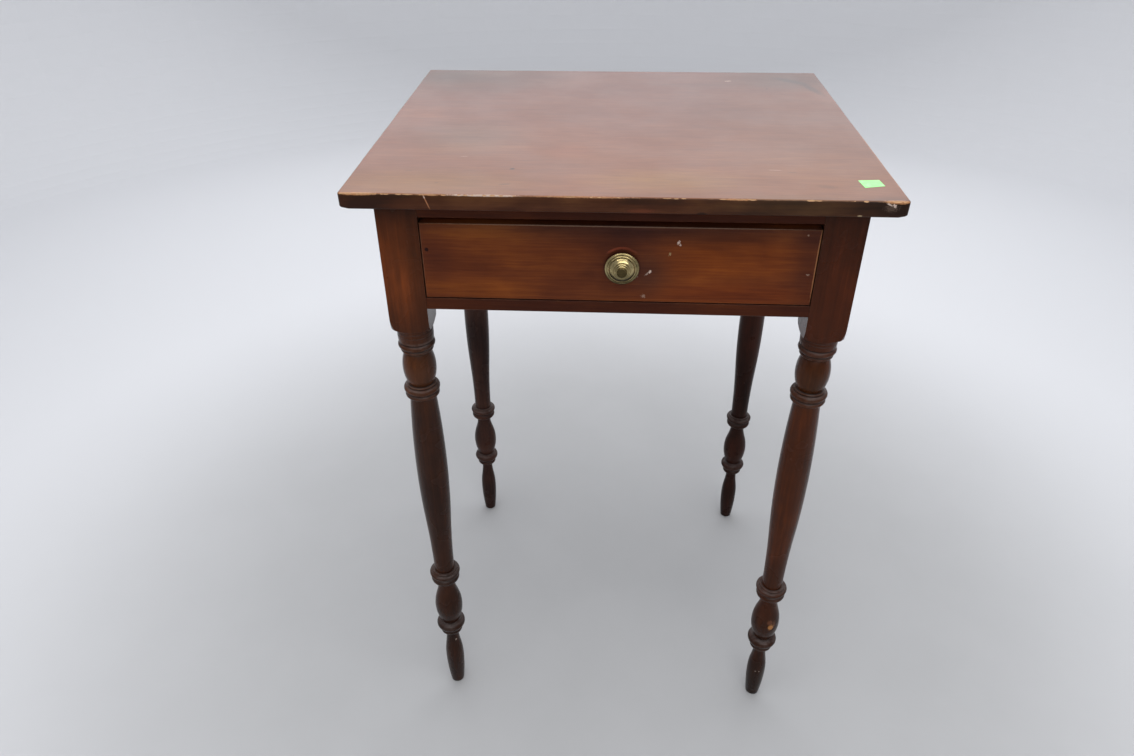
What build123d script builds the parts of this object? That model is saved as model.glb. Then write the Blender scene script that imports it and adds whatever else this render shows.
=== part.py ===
"""Small tavern table with one drawer, on four legs that are square above and turned below.

Millimetres. +Z is up, X runs across the front, the drawer opens towards -Y, and the origin is on the
floor under the middle of the table. Each piece is its own solid and is written to parts/NAME.step.
"""
import os
from math import sqrt

from build123d import *

# ---- driving dimensions ------------------------------------------------------------------------

# Tabletop: one board that overhangs the frame all round
TABLE_HEIGHT = 724.0
TOP_THICKNESS = 15.0
TOP_SIDE_OVERHANG = 24.5
TOP_FRONT_OVERHANG = 22.0
TOP_CORNER_CLIP = 1.5
TOP_UPPER_ARRIS = 1.6
TOP_LOWER_ARRIS = 1.2

# Frame of posts, aprons and rails, measured over the outside of the posts
FRAME_WIDTH = 446.0
FRAME_DEPTH = 388.0
POST_SIZE = 39.0
POST_HEIGHT = 140.0

APRON_HEIGHT = 112.0
APRON_THICKNESS = 20.0
APRON_SETBACK = 1.5
TENON_THICKNESS = 9.0
TENON_LENGTH = 20.0
TENON_TOP_SHOULDER = 16.0
TENON_BOTTOM_SHOULDER = 12.0
MORTISE_RELIEF = 1.0

PEG_SIZE = 5.5
PEG_LENGTH = 26.0
PEG_PROUD = 0.4
PEG_FIT = 0.05
PEG_COUNT = 2
PEG_SPACING = 46.0
PEG_FIRST_HEIGHT = 16.0
PEG_STAGGER = 11.0

RAIL_DEPTH = 45.0
RAIL_SETBACK = 0.5
RAIL_ARRIS = 0.6
UPPER_RAIL_HEIGHT = 16.5
LOWER_RAIL_HEIGHT = 12.5
RAIL_TENON_HEIGHT = 7.5
RAIL_TENON_WIDTH = 25.0
RAIL_DOVETAIL_HEIGHT = 10.0
RAIL_DOVETAIL_LENGTH = 18.0
RAIL_DOVETAIL_ROOT = 22.0
RAIL_DOVETAIL_END = 28.0

# Turned part of the leg: lengths are stacked from the floor up, and from the post down, and the shaft
# takes what is left between the two stacks
FOOT_LENGTH = 100.0
FOOT_TIP_RADIUS = 8.6
FOOT_SWELL_HEIGHT = 51.0
FOOT_SWELL_RADIUS = 11.8
ANKLE_RADIUS = 7.7
ANKLE_BEAD_LENGTH = 9.5
ANKLE_BEAD_RADIUS = 14.2
BULB_ROOT_RADIUS = 11.3
BULB_BEAD_LENGTH = 13.5
BULB_BEAD_RADIUS = 18.1
BULB_BEAD_FLAT = 5.5
BULB_SWELL_HEIGHT = 27.0
BULB_SWELL_RADIUS = 17.2
BULB_TAPER_LENGTH = 46.0
COLLAR_NECK_RADIUS = 9.5
COLLAR_BEAD_LENGTH = 9.5
COLLAR_BEAD_RADIUS = 17.3
COLLAR_GROOVE_RADIUS = 14.5
COLLAR_RING_LENGTH = 10.0
COLLAR_RING_RADIUS = 18.5
COLLAR_RING_FLAT = 5.0

SHAFT_FOOT_RADIUS = 11.8
SHAFT_SWELL_DROP = 100.0
SHAFT_SWELL_RADIUS = 17.6
SHAFT_HEAD_RADIUS = 13.8

SHOULDER_RADIUS = 24.6
SHOULDER_UNDERSIDE = 2.6
SHOULDER_HEIGHT = 35.0
SHOULDER_ROUNDING = 0.6
SHOULDER_RUN_OUT = 0.8
DRUM_LENGTH = 18.0
DRUM_RADIUS = 18.5
THROAT_RING_LENGTH = 7.5
THROAT_RING_RADIUS = 19.1
THROAT_RING_FLAT = 3.5
THROAT_GROOVE_RADIUS = 15.6
THROAT_BEAD_LENGTH = 4.5
THROAT_BEAD_RADIUS = 17.2
VASE_LENGTH = 43.0
VASE_SWELL_RADIUS = 17.6
VASE_ROOT_RADIUS = 13.3
NECK_RING_LENGTH = 7.5
NECK_RING_RADIUS = 19.2
NECK_RING_FLAT = 3.5
NECK_GROOVE_RADIUS = 16.4
NECK_BEAD_LENGTH = 6.5
NECK_BEAD_RADIUS = 18.7

# Drawer supports inside the frame, and the blocks that hold the tabletop
RUNNER_WIDTH = 34.0
RUNNER_STUB_LENGTH = 8.0
RUNNER_STUB_WIDTH = 12.0
RUNNER_STUB_HEIGHT = 6.0
GUIDE_HEIGHT = 14.0
STOP_WIDTH = 30.0
STOP_DEPTH = 12.0
STOP_HEIGHT = 5.0
STOP_SPACING = 220.0
GLUE_BLOCK_SIZE = 16.0
GLUE_BLOCK_LENGTH = 50.0
GLUE_BLOCK_OFFSET = 90.0

# Drawer: half-blind dovetails in front, through dovetails behind, and a bevelled bottom in grooves
DRAWER_REAR_GAP = 26.0
DRAWER_SIDE_GAP = 0.6
DRAWER_TOP_GAP = 5.5
DRAWER_BOTTOM_GAP = 0.8
DRAWER_FRONT_THICKNESS = 20.0
DRAWER_FRONT_ARRIS = 0.7
DRAWER_SIDE_THICKNESS = 11.0
DRAWER_SIDE_HEIGHT = 75.0
DRAWER_BACK_THICKNESS = 10.0
DRAWER_BACK_DROP = 4.0
FRONT_LAP = 5.0
FRONT_TAIL_COUNT = 3
FRONT_TAIL_WIDTH = 18.0
BACK_TAIL_COUNT = 2
BACK_TAIL_WIDTH = 17.0
TAIL_SLOPE = 1 / 7
GROOVE_HEIGHT = 10.0
GROOVE_WIDTH = 6.0
GROOVE_DEPTH = 5.0
BOTTOM_THICKNESS = 8.0
BOTTOM_EDGE_THICKNESS = 5.4
BOTTOM_BEVEL_WIDTH = 30.0
BOTTOM_EDGE_GAP = 0.5

# Brass knob, its stud through the drawer front, and the square nut inside
KNOB_OFFSET = 4.5
KNOB_DROP = 1.75
KNOB_RADIUS = 16.3
KNOB_BASE_RADIUS = 7.0
KNOB_BASE_HEIGHT = 3.0
KNOB_RIM_INNER_RADIUS = 15.0
KNOB_RIM_HEIGHT = 4.3
KNOB_STEP_RADIUS = 13.6
KNOB_STEP_HEIGHT = 6.4
KNOB_DISH_RADIUS = 8.2
KNOB_DISH_HEIGHT = 9.9
KNOB_RING_RADIUS = 6.7
KNOB_RING_HEIGHT = 11.8
KNOB_BUTTON_RADIUS = 4.9
KNOB_BUTTON_TOP_RADIUS = 4.3
KNOB_HEIGHT = 14.0
STUD_DIAMETER = 5.0
STUD_FIT = 0.05
STUD_GRIP = 7.0
STUD_END = 3.0
NUT_SIZE = 10.0
NUT_THICKNESS = 4.5

# ---- places that follow from the dimensions ------------------------------------------------------

TOP_WIDTH = FRAME_WIDTH + 2 * TOP_SIDE_OVERHANG
TOP_DEPTH = FRAME_DEPTH + 2 * TOP_FRONT_OVERHANG
FRAME_TOP = TABLE_HEIGHT - TOP_THICKNESS
FRAME_BOTTOM = FRAME_TOP - APRON_HEIGHT
POST_BOTTOM = FRAME_TOP - POST_HEIGHT
OPENING_TOP = FRAME_TOP - UPPER_RAIL_HEIGHT
OPENING_BOTTOM = FRAME_BOTTOM + LOWER_RAIL_HEIGHT

LEG_X = (FRAME_WIDTH - POST_SIZE) / 2
LEG_Y = (FRAME_DEPTH - POST_SIZE) / 2
POST_INNER_X = LEG_X - POST_SIZE / 2
POST_INNER_Y = LEG_Y - POST_SIZE / 2
APRON_OUTER_X = FRAME_WIDTH / 2 - APRON_SETBACK
APRON_INNER_X = APRON_OUTER_X - APRON_THICKNESS
APRON_OUTER_Y = FRAME_DEPTH / 2 - APRON_SETBACK
APRON_INNER_Y = APRON_OUTER_Y - APRON_THICKNESS
TENON_MIDDLE = APRON_SETBACK + APRON_THICKNESS / 2
TENON_BOTTOM = FRAME_BOTTOM + TENON_BOTTOM_SHOULDER
TENON_TOP = FRAME_TOP - TENON_TOP_SHOULDER

RAIL_FRONT = -FRAME_DEPTH / 2 + RAIL_SETBACK
RAIL_BACK = RAIL_FRONT + RAIL_DEPTH
RAIL_TENON_BOTTOM = FRAME_BOTTOM + (LOWER_RAIL_HEIGHT - RAIL_TENON_HEIGHT) / 2
RUNNER_INNER_X = APRON_INNER_X - RUNNER_WIDTH

DRAWER_HALF_WIDTH = POST_INNER_X - DRAWER_SIDE_GAP
DRAWER_INNER_X = DRAWER_HALF_WIDTH - DRAWER_SIDE_THICKNESS
DRAWER_FACE = RAIL_FRONT
DRAWER_INSIDE_FACE = DRAWER_FACE + DRAWER_FRONT_THICKNESS
DRAWER_LENGTH = APRON_INNER_Y - DRAWER_REAR_GAP - DRAWER_FACE
DRAWER_END = DRAWER_FACE + DRAWER_LENGTH
DRAWER_BACK_FACE = DRAWER_END - DRAWER_BACK_THICKNESS
DRAWER_SIDE_TOP = OPENING_BOTTOM + DRAWER_SIDE_HEIGHT
FRONT_BOTTOM = OPENING_BOTTOM + DRAWER_BOTTOM_GAP
FRONT_TOP = OPENING_TOP - DRAWER_TOP_GAP
GROOVE_BOTTOM = OPENING_BOTTOM + GROOVE_HEIGHT
GROOVE_TOP = GROOVE_BOTTOM + GROOVE_WIDTH
BACK_TOP = DRAWER_SIDE_TOP - DRAWER_BACK_DROP
KNOB_Z = (FRONT_BOTTOM + FRONT_TOP) / 2 - KNOB_DROP
STUD_RADIUS = STUD_DIAMETER / 2


# ---- helpers --------------------------------------------------------------------------------------

def block(x: tuple, y: tuple, z: tuple) -> Part:
    """A box between two values on each axis."""
    low = Pos(x[0], y[0], z[0])
    return low * Box(x[1] - x[0], y[1] - y[0], z[1] - z[0], align=(Align.MIN,) * 3)


def prism(plane: Plane, corners: list, length: float) -> Part:
    """A straight-sided outline on a plane, extruded along the plane's normal."""
    return extrude(plane * make_face(Polyline(*corners, close=True)), amount=length)


def mirrored(piece: Part) -> Part:
    """The left-hand copy of a right-hand piece."""
    return mirror(piece, about=Plane.YZ)


def both_sides(piece: Part) -> Part:
    """A right-hand piece together with its left-hand copy."""
    return piece + mirrored(piece)


# ---- legs -----------------------------------------------------------------------------------------

class Turning:
    """Half outline of a turned stick, drawn from the middle of its lower end upwards."""

    def __init__(self):
        self.edges = []
        self.radius = 0.0
        self.height = 0.0

    def add(self, edge: Edge, radius: float, height: float):
        """Take one more stretch of outline, which ends at a radius and a height."""
        self.edges.append(edge)
        self.radius, self.height = radius, height

    def line_to(self, radius: float, height: float):
        """A straight stretch: a flat end, a neck, a drum or a cone."""
        self.add(Line((self.radius, self.height), (radius, height)), radius, height)

    def bow_to(self, radius: float, height: float):
        """An arc that is upright at its wider end."""
        start, end = (self.radius, self.height), (radius, height)
        if radius > self.radius:
            arc = TangentArc(start, end, tangent=(0, -1), tangent_from_first=False)
        else:
            arc = TangentArc(start, end, tangent=(0, 1))
        self.add(arc, radius, height)

    def ogee_to(self, radius: float, height: float):
        """Two arcs that meet halfway, one hollow and one round, upright at their outer ends."""
        meeting = ((self.radius + radius) / 2, (self.height + height) / 2)
        self.add(TangentArc((self.radius, self.height), meeting, tangent=(0, 1)), *meeting)
        arc = TangentArc(meeting, (radius, height), tangent=(0, -1), tangent_from_first=False)
        self.add(arc, radius, height)

    def swell(self, length: float, crown: float):
        """An arc that swells to its crown halfway and comes back to where it began."""
        top = self.height + length
        crown_point = (crown, self.height + length / 2)
        self.add(ThreePointArc((self.radius, self.height), crown_point, (self.radius, top)), self.radius, top)

    def round_to(self, radius: float, height: float, rise: float):
        """An arc whose middle stands proud of its chord."""
        chord = Vector(radius - self.radius, height - self.height)
        middle = Vector(self.radius, self.height) + chord / 2 + Vector(chord.Y, -chord.X).normalized() * rise
        self.add(ThreePointArc((self.radius, self.height), middle, (radius, height)), radius, height)

    def ring(self, length: float, crown: float, upper_root: float, flat: float = 0.0):
        """A turned ring: a sloped flank, a flat crown and a second flank down to the upper root."""
        flank = (length - flat) / 2
        self.line_to(crown, self.height + flank)
        if flat > 0:
            self.line_to(crown, self.height + flat)
        self.line_to(upper_root, self.height + flank)

    def solid(self) -> Part:
        """The stick, closed along its middle and turned once round."""
        self.line_to(0.0, self.height)
        self.line_to(0.0, 0.0)
        return revolve(Plane.XZ * make_face(self.edges), axis=Axis.Z)


def turned_stick() -> Part:
    """A leg as it leaves the lathe: foot, bulb, shaft, vase and shoulder, and a round head."""
    head_radius = POST_SIZE / sqrt(2) + SHOULDER_RUN_OUT
    drum = POST_BOTTOM - DRUM_LENGTH
    vase = drum - THROAT_RING_LENGTH - THROAT_BEAD_LENGTH - VASE_LENGTH
    shaft_top = vase - NECK_RING_LENGTH - NECK_BEAD_LENGTH

    stick = Turning()
    stick.line_to(FOOT_TIP_RADIUS, 0.0)
    stick.bow_to(FOOT_SWELL_RADIUS, FOOT_SWELL_HEIGHT)
    stick.ogee_to(ANKLE_RADIUS, FOOT_LENGTH)
    stick.ring(ANKLE_BEAD_LENGTH, ANKLE_BEAD_RADIUS, BULB_ROOT_RADIUS)
    stick.ring(BULB_BEAD_LENGTH, BULB_BEAD_RADIUS, BULB_ROOT_RADIUS, BULB_BEAD_FLAT)
    stick.bow_to(BULB_SWELL_RADIUS, stick.height + BULB_SWELL_HEIGHT)
    stick.ogee_to(COLLAR_NECK_RADIUS, stick.height + BULB_TAPER_LENGTH)
    stick.ring(COLLAR_BEAD_LENGTH, COLLAR_BEAD_RADIUS, COLLAR_GROOVE_RADIUS)
    stick.ring(COLLAR_RING_LENGTH, COLLAR_RING_RADIUS, SHAFT_FOOT_RADIUS, COLLAR_RING_FLAT)
    stick.ogee_to(SHAFT_SWELL_RADIUS, shaft_top - SHAFT_SWELL_DROP)
    stick.bow_to(SHAFT_HEAD_RADIUS, shaft_top)
    stick.ring(NECK_BEAD_LENGTH, NECK_BEAD_RADIUS, NECK_GROOVE_RADIUS)
    stick.ring(NECK_RING_LENGTH, NECK_RING_RADIUS, VASE_ROOT_RADIUS, NECK_RING_FLAT)
    stick.swell(VASE_LENGTH, VASE_SWELL_RADIUS)
    stick.ring(THROAT_BEAD_LENGTH, THROAT_BEAD_RADIUS, THROAT_GROOVE_RADIUS)
    stick.ring(THROAT_RING_LENGTH, THROAT_RING_RADIUS, THROAT_GROOVE_RADIUS, THROAT_RING_FLAT)
    stick.line_to(DRUM_RADIUS, drum)
    stick.line_to(DRUM_RADIUS, POST_BOTTOM)
    stick.line_to(SHOULDER_RADIUS, POST_BOTTOM + SHOULDER_UNDERSIDE)
    stick.round_to(head_radius, POST_BOTTOM + SHOULDER_HEIGHT, SHOULDER_ROUNDING)
    stick.line_to(head_radius, FRAME_TOP)
    return stick.solid()


def plain_leg() -> Part:
    """A leg before its joints are cut: the stick, squared to the post above the shoulder."""
    square = extrude(Rectangle(POST_SIZE, POST_SIZE), amount=FRAME_TOP)
    return turned_stick() & square


def legs() -> dict:
    """The four legs, cut for the aprons, the rails and the pegs."""
    joints = apron_mortises() + pegs(PEG_FIT) + rail_mortises() + upper_rail()
    places = {
        "leg_front_left": (-LEG_X, -LEG_Y),
        "leg_front_right": (LEG_X, -LEG_Y),
        "leg_back_left": (-LEG_X, LEG_Y),
        "leg_back_right": (LEG_X, LEG_Y),
    }
    stick = plain_leg()
    return {name: Pos(x, y, 0) * stick - joints for name, (x, y) in places.items()}


# ---- frame ----------------------------------------------------------------------------------------

def middle_span(middle: float, size: float) -> tuple:
    """The two ends of a size laid out evenly about its middle."""
    return middle - size / 2, middle + size / 2


def apron_right() -> Part:
    """The right-hand apron: a board between two posts, with a tenon at each end."""
    reach = POST_INNER_Y + TENON_LENGTH
    cheeks = middle_span(FRAME_WIDTH / 2 - TENON_MIDDLE, TENON_THICKNESS)
    board = block((APRON_INNER_X, APRON_OUTER_X), (-POST_INNER_Y, POST_INNER_Y), (FRAME_BOTTOM, FRAME_TOP))
    tenons = block(cheeks, (-reach, reach), (TENON_BOTTOM, TENON_TOP))
    return board + tenons - pegs(PEG_FIT)


def apron_back() -> Part:
    """The back apron: a board between the back posts, with a tenon at each end."""
    reach = POST_INNER_X + TENON_LENGTH
    cheeks = middle_span(FRAME_DEPTH / 2 - TENON_MIDDLE, TENON_THICKNESS)
    board = block((-POST_INNER_X, POST_INNER_X), (APRON_INNER_Y, APRON_OUTER_Y), (FRAME_BOTTOM, FRAME_TOP))
    tenons = block((-reach, reach), cheeks, (TENON_BOTTOM, TENON_TOP))
    return board + tenons - pegs(PEG_FIT)


def apron_mortises() -> Part:
    """The mortises for the apron tenons, a little deeper than the tenons are long."""
    depth = TENON_LENGTH + MORTISE_RELIEF
    height = (TENON_BOTTOM, TENON_TOP)
    side_cheeks = middle_span(FRAME_WIDTH / 2 - TENON_MIDDLE, TENON_THICKNESS)
    back_cheeks = middle_span(FRAME_DEPTH / 2 - TENON_MIDDLE, TENON_THICKNESS)
    in_back_legs = block(side_cheeks, (POST_INNER_Y, POST_INNER_Y + depth), height)
    in_front_legs = block(side_cheeks, (-POST_INNER_Y - depth, -POST_INNER_Y), height)
    for_back_apron = block((POST_INNER_X, POST_INNER_X + depth), back_cheeks, height)
    return both_sides(in_back_legs + in_front_legs + for_back_apron)


def pegs(fit: float) -> Part:
    """Square pegs driven through the apron tenons, or their holes where fit is the room round a peg."""
    size = PEG_SIZE + 2 * fit
    heights = [TENON_BOTTOM + PEG_FIRST_HEIGHT + step * PEG_SPACING for step in range(PEG_COUNT)]
    side_y = POST_INNER_Y + TENON_LENGTH / 2
    back_x = POST_INNER_X + TENON_LENGTH / 2
    side_length = (FRAME_WIDTH / 2 + PEG_PROUD - PEG_LENGTH - fit, FRAME_WIDTH / 2 + PEG_PROUD)
    back_length = (FRAME_DEPTH / 2 + PEG_PROUD - PEG_LENGTH - fit, FRAME_DEPTH / 2 + PEG_PROUD)
    right = []
    for height in heights:
        for y in (-side_y, side_y):
            right.append(block(side_length, middle_span(y, size), middle_span(height, size)))
        back_height = middle_span(height + PEG_STAGGER, size)
        right.append(block(middle_span(back_x, size), back_length, back_height))
    return both_sides(Part() + right)


def rail_mortises() -> Part:
    """The mortises in the front posts for the lower rail's tenons."""
    reach = POST_INNER_X + TENON_LENGTH + MORTISE_RELIEF
    height = (RAIL_TENON_BOTTOM, RAIL_TENON_BOTTOM + RAIL_TENON_HEIGHT)
    return both_sides(block((POST_INNER_X, reach), middle_span(-LEG_Y, RAIL_TENON_WIDTH), height))


def lower_rail() -> Part:
    """The rail under the drawer: a flat board tenoned into the front posts."""
    reach = POST_INNER_X + TENON_LENGTH
    height = (RAIL_TENON_BOTTOM, RAIL_TENON_BOTTOM + RAIL_TENON_HEIGHT)
    board = block((-POST_INNER_X, POST_INNER_X), (RAIL_FRONT, RAIL_BACK), (FRAME_BOTTOM, OPENING_BOTTOM))
    front_edges = board.edges().filter_by(Axis.X).group_by(Axis.Y)[0]
    tenons = block((-reach, reach), middle_span(-LEG_Y, RAIL_TENON_WIDTH), height)
    return chamfer(front_edges, RAIL_ARRIS) + tenons - both_sides(runner_right())


def upper_rail() -> Part:
    """The rail over the drawer: a flat board dovetailed down into the tops of the front posts."""
    board = block((-POST_INNER_X, POST_INNER_X), (RAIL_FRONT, RAIL_BACK), (OPENING_TOP, FRAME_TOP))
    lower_front_edge = board.edges().filter_by(Axis.X).group_by(Axis.Y)[0].sort_by(Axis.Z)[0]
    root, end = RAIL_DOVETAIL_ROOT / 2, RAIL_DOVETAIL_END / 2
    reach = POST_INNER_X + RAIL_DOVETAIL_LENGTH
    corners = [
        (POST_INNER_X, -LEG_Y - root),
        (reach, -LEG_Y - end),
        (reach, -LEG_Y + end),
        (POST_INNER_X, -LEG_Y + root),
    ]
    dovetail = prism(Plane.XY.offset(FRAME_TOP - RAIL_DOVETAIL_HEIGHT), corners, RAIL_DOVETAIL_HEIGHT)
    return chamfer(lower_front_edge, RAIL_ARRIS) + both_sides(dovetail) - both_sides(kicker_right())


# ---- drawer supports ------------------------------------------------------------------------------

def drawer_bearer(bottom: float, top: float) -> Part:
    """A bearer along the right-hand apron, notched round the back post, with a stub in a front rail."""
    corners = [
        (RUNNER_INNER_X, RAIL_BACK),
        (APRON_INNER_X, RAIL_BACK),
        (APRON_INNER_X, POST_INNER_Y),
        (POST_INNER_X, POST_INNER_Y),
        (POST_INNER_X, APRON_INNER_Y),
        (RUNNER_INNER_X, APRON_INNER_Y),
    ]
    stub = block(
        (RUNNER_INNER_X, RUNNER_INNER_X + RUNNER_STUB_WIDTH),
        (RAIL_BACK - RUNNER_STUB_LENGTH, RAIL_BACK),
        middle_span((bottom + top) / 2, RUNNER_STUB_HEIGHT),
    )
    return prism(Plane.XY.offset(bottom), corners, top - bottom) + stub


def runner_right() -> Part:
    """The right-hand runner, which the drawer side slides on."""
    return drawer_bearer(FRAME_BOTTOM, OPENING_BOTTOM)


def kicker_right() -> Part:
    """The right-hand kicker, which keeps an open drawer from tipping."""
    return drawer_bearer(OPENING_TOP, FRAME_TOP)


def guide_right() -> Part:
    """The right-hand guide: a strip on the runner, flush with the posts, that keeps the drawer straight."""
    height = (OPENING_BOTTOM, OPENING_BOTTOM + GUIDE_HEIGHT)
    return block((POST_INNER_X, APRON_INNER_X), (RAIL_BACK, POST_INNER_Y), height)


def drawer_stops() -> Part:
    """Two blocks on the lower rail that the back of the drawer front meets when it is shut."""
    height = (OPENING_BOTTOM, OPENING_BOTTOM + STOP_HEIGHT)
    depth = (DRAWER_INSIDE_FACE, DRAWER_INSIDE_FACE + STOP_DEPTH)
    return both_sides(block(middle_span(STOP_SPACING / 2, STOP_WIDTH), depth, height))


def glue_blocks() -> Part:
    """Blocks rubbed into the corners under the tabletop, behind the upper rail and inside the back apron."""
    length = middle_span(GLUE_BLOCK_OFFSET, GLUE_BLOCK_LENGTH)
    height = (FRAME_TOP - GLUE_BLOCK_SIZE, FRAME_TOP)
    front = block(length, (RAIL_BACK, RAIL_BACK + GLUE_BLOCK_SIZE), height)
    back = block(length, (APRON_INNER_Y - GLUE_BLOCK_SIZE, APRON_INNER_Y), height)
    return both_sides(front + back)


def tabletop() -> Part:
    """One board with its corners clipped and its arrises taken off."""
    board = block(middle_span(0, TOP_WIDTH), middle_span(0, TOP_DEPTH), (FRAME_TOP, TABLE_HEIGHT))
    board = chamfer(board.edges().filter_by(Axis.Z), TOP_CORNER_CLIP)
    board = chamfer(board.faces().sort_by(Axis.Z)[-1].edges(), TOP_UPPER_ARRIS)
    return chamfer(board.faces().sort_by(Axis.Z)[0].edges(), TOP_LOWER_ARRIS)


# ---- drawer ---------------------------------------------------------------------------------------

def tails(root: float, end: float, bottom: float, top: float, count: int, width: float) -> Part:
    """Dovetails cut on the right-hand drawer side, from their root to their wider end along Y."""
    pitch = (top - bottom) / count
    end_half = width / 2
    root_half = end_half - abs(end - root) * TAIL_SLOPE
    found = []
    for number in range(count):
        middle = bottom + pitch * (number + 0.5)
        corners = [
            (root, middle - root_half),
            (end, middle - end_half),
            (end, middle + end_half),
            (root, middle + root_half),
        ]
        found.append(prism(Plane.YZ.offset(DRAWER_INNER_X), corners, DRAWER_SIDE_THICKNESS))
    return Part() + found


def front_tails() -> Part:
    """The right-hand side's half-blind tails, which stop short of the face of the drawer front."""
    end = DRAWER_FACE + FRONT_LAP
    return tails(DRAWER_INSIDE_FACE, end, OPENING_BOTTOM, DRAWER_SIDE_TOP, FRONT_TAIL_COUNT, FRONT_TAIL_WIDTH)


def back_tails() -> Part:
    """The right-hand side's through tails, which show behind the drawer back."""
    return tails(DRAWER_BACK_FACE, DRAWER_END, GROOVE_TOP, BACK_TOP, BACK_TAIL_COUNT, BACK_TAIL_WIDTH)


def drawer_side_right() -> Part:
    """The right-hand side: tails in front and behind, and a groove for the bottom."""
    board = block(
        (DRAWER_INNER_X, DRAWER_HALF_WIDTH),
        (DRAWER_INSIDE_FACE, DRAWER_END),
        (OPENING_BOTTOM, DRAWER_SIDE_TOP),
    )
    groove = block(
        (DRAWER_INNER_X, DRAWER_INNER_X + GROOVE_DEPTH),
        (DRAWER_FACE, DRAWER_END),
        (GROOVE_BOTTOM, GROOVE_TOP),
    )
    return board + front_tails() - drawer_back() - groove


def drawer_front() -> Part:
    """The drawer front: sockets for the sides, a groove for the bottom and a hole for the knob's stud."""
    board = block(
        (-DRAWER_HALF_WIDTH, DRAWER_HALF_WIDTH),
        (DRAWER_FACE, DRAWER_INSIDE_FACE),
        (FRONT_BOTTOM, FRONT_TOP),
    )
    board = chamfer(board.faces().sort_by(Axis.Y)[0].edges(), DRAWER_FRONT_ARRIS)
    groove = block(
        (-DRAWER_INNER_X, DRAWER_INNER_X),
        (DRAWER_INSIDE_FACE - GROOVE_DEPTH, DRAWER_INSIDE_FACE),
        (GROOVE_BOTTOM, GROOVE_TOP),
    )
    return board - both_sides(front_tails()) - groove - stud(STUD_FIT)


def drawer_back() -> Part:
    """The drawer back, between the tails of the two sides and on top of the bottom."""
    board = block(
        (-DRAWER_HALF_WIDTH, DRAWER_HALF_WIDTH),
        (DRAWER_BACK_FACE, DRAWER_END),
        (GROOVE_TOP, BACK_TOP),
    )
    return board - both_sides(back_tails())


def drawer_bottom() -> Part:
    """The drawer bottom: bevelled below on three edges for the grooves, and run out under the back."""
    side_edge = DRAWER_INNER_X + GROOVE_DEPTH - BOTTOM_EDGE_GAP
    front_edge = DRAWER_INSIDE_FACE - GROOVE_DEPTH + BOTTOM_EDGE_GAP
    underside = GROOVE_TOP - BOTTOM_THICKNESS
    edge_underside = GROOVE_TOP - BOTTOM_EDGE_THICKNESS
    board = block((-side_edge, side_edge), (front_edge, DRAWER_END), (underside, GROOVE_TOP))
    side_bevel = prism(
        Plane.XZ.offset(-DRAWER_END),
        [(side_edge - BOTTOM_BEVEL_WIDTH, underside), (side_edge, underside), (side_edge, edge_underside)],
        DRAWER_END - front_edge,
    )
    front_bevel = prism(
        Plane.YZ.offset(-side_edge),
        [(front_edge + BOTTOM_BEVEL_WIDTH, underside), (front_edge, underside), (front_edge, edge_underside)],
        2 * side_edge,
    )
    return board - both_sides(side_bevel) - front_bevel


# ---- knob -----------------------------------------------------------------------------------------

def on_drawer_front(height: float) -> Location:
    """The knob's axis, pointing out of the drawer front, from a height above the drawer's face."""
    return Pos(KNOB_OFFSET, DRAWER_FACE - height, KNOB_Z) * Rot(90, 0, 0)


def stud(fit: float) -> Part:
    """The threaded stud that holds the knob, or its hole where fit is the room round it."""
    inner_end = DRAWER_FRONT_THICKNESS + NUT_THICKNESS + STUD_END
    length = inner_end + STUD_GRIP
    rod = Cylinder(STUD_RADIUS + fit, length, align=(Align.CENTER, Align.CENTER, Align.MIN))
    return on_drawer_front(-inner_end) * rod


def knob() -> Part:
    """The turned brass knob: collar, rim, sloped face, ring and button, bored for its stud."""
    turning = Turning()
    turning.line_to(KNOB_BASE_RADIUS, 0.0)
    turning.line_to(KNOB_BASE_RADIUS, KNOB_BASE_HEIGHT)
    turning.line_to(KNOB_RIM_INNER_RADIUS, KNOB_BASE_HEIGHT)
    turning.line_to(KNOB_RADIUS, KNOB_RIM_HEIGHT)
    turning.line_to(KNOB_STEP_RADIUS, KNOB_STEP_HEIGHT)
    turning.line_to(KNOB_DISH_RADIUS, KNOB_DISH_HEIGHT)
    turning.line_to(KNOB_RING_RADIUS, KNOB_RING_HEIGHT)
    turning.line_to(KNOB_BUTTON_RADIUS, KNOB_RING_HEIGHT)
    turning.line_to(KNOB_BUTTON_TOP_RADIUS, KNOB_HEIGHT)
    return on_drawer_front(0.0) * turning.solid() - stud(STUD_FIT)


def knob_nut() -> Part:
    """The square nut on the stud, tight against the inside of the drawer front."""
    plate = Box(NUT_SIZE, NUT_SIZE, NUT_THICKNESS, align=(Align.CENTER, Align.CENTER, Align.MIN))
    return on_drawer_front(-DRAWER_FRONT_THICKNESS - NUT_THICKNESS) * plate - stud(STUD_FIT)


# ---- pieces ---------------------------------------------------------------------------------------

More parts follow.
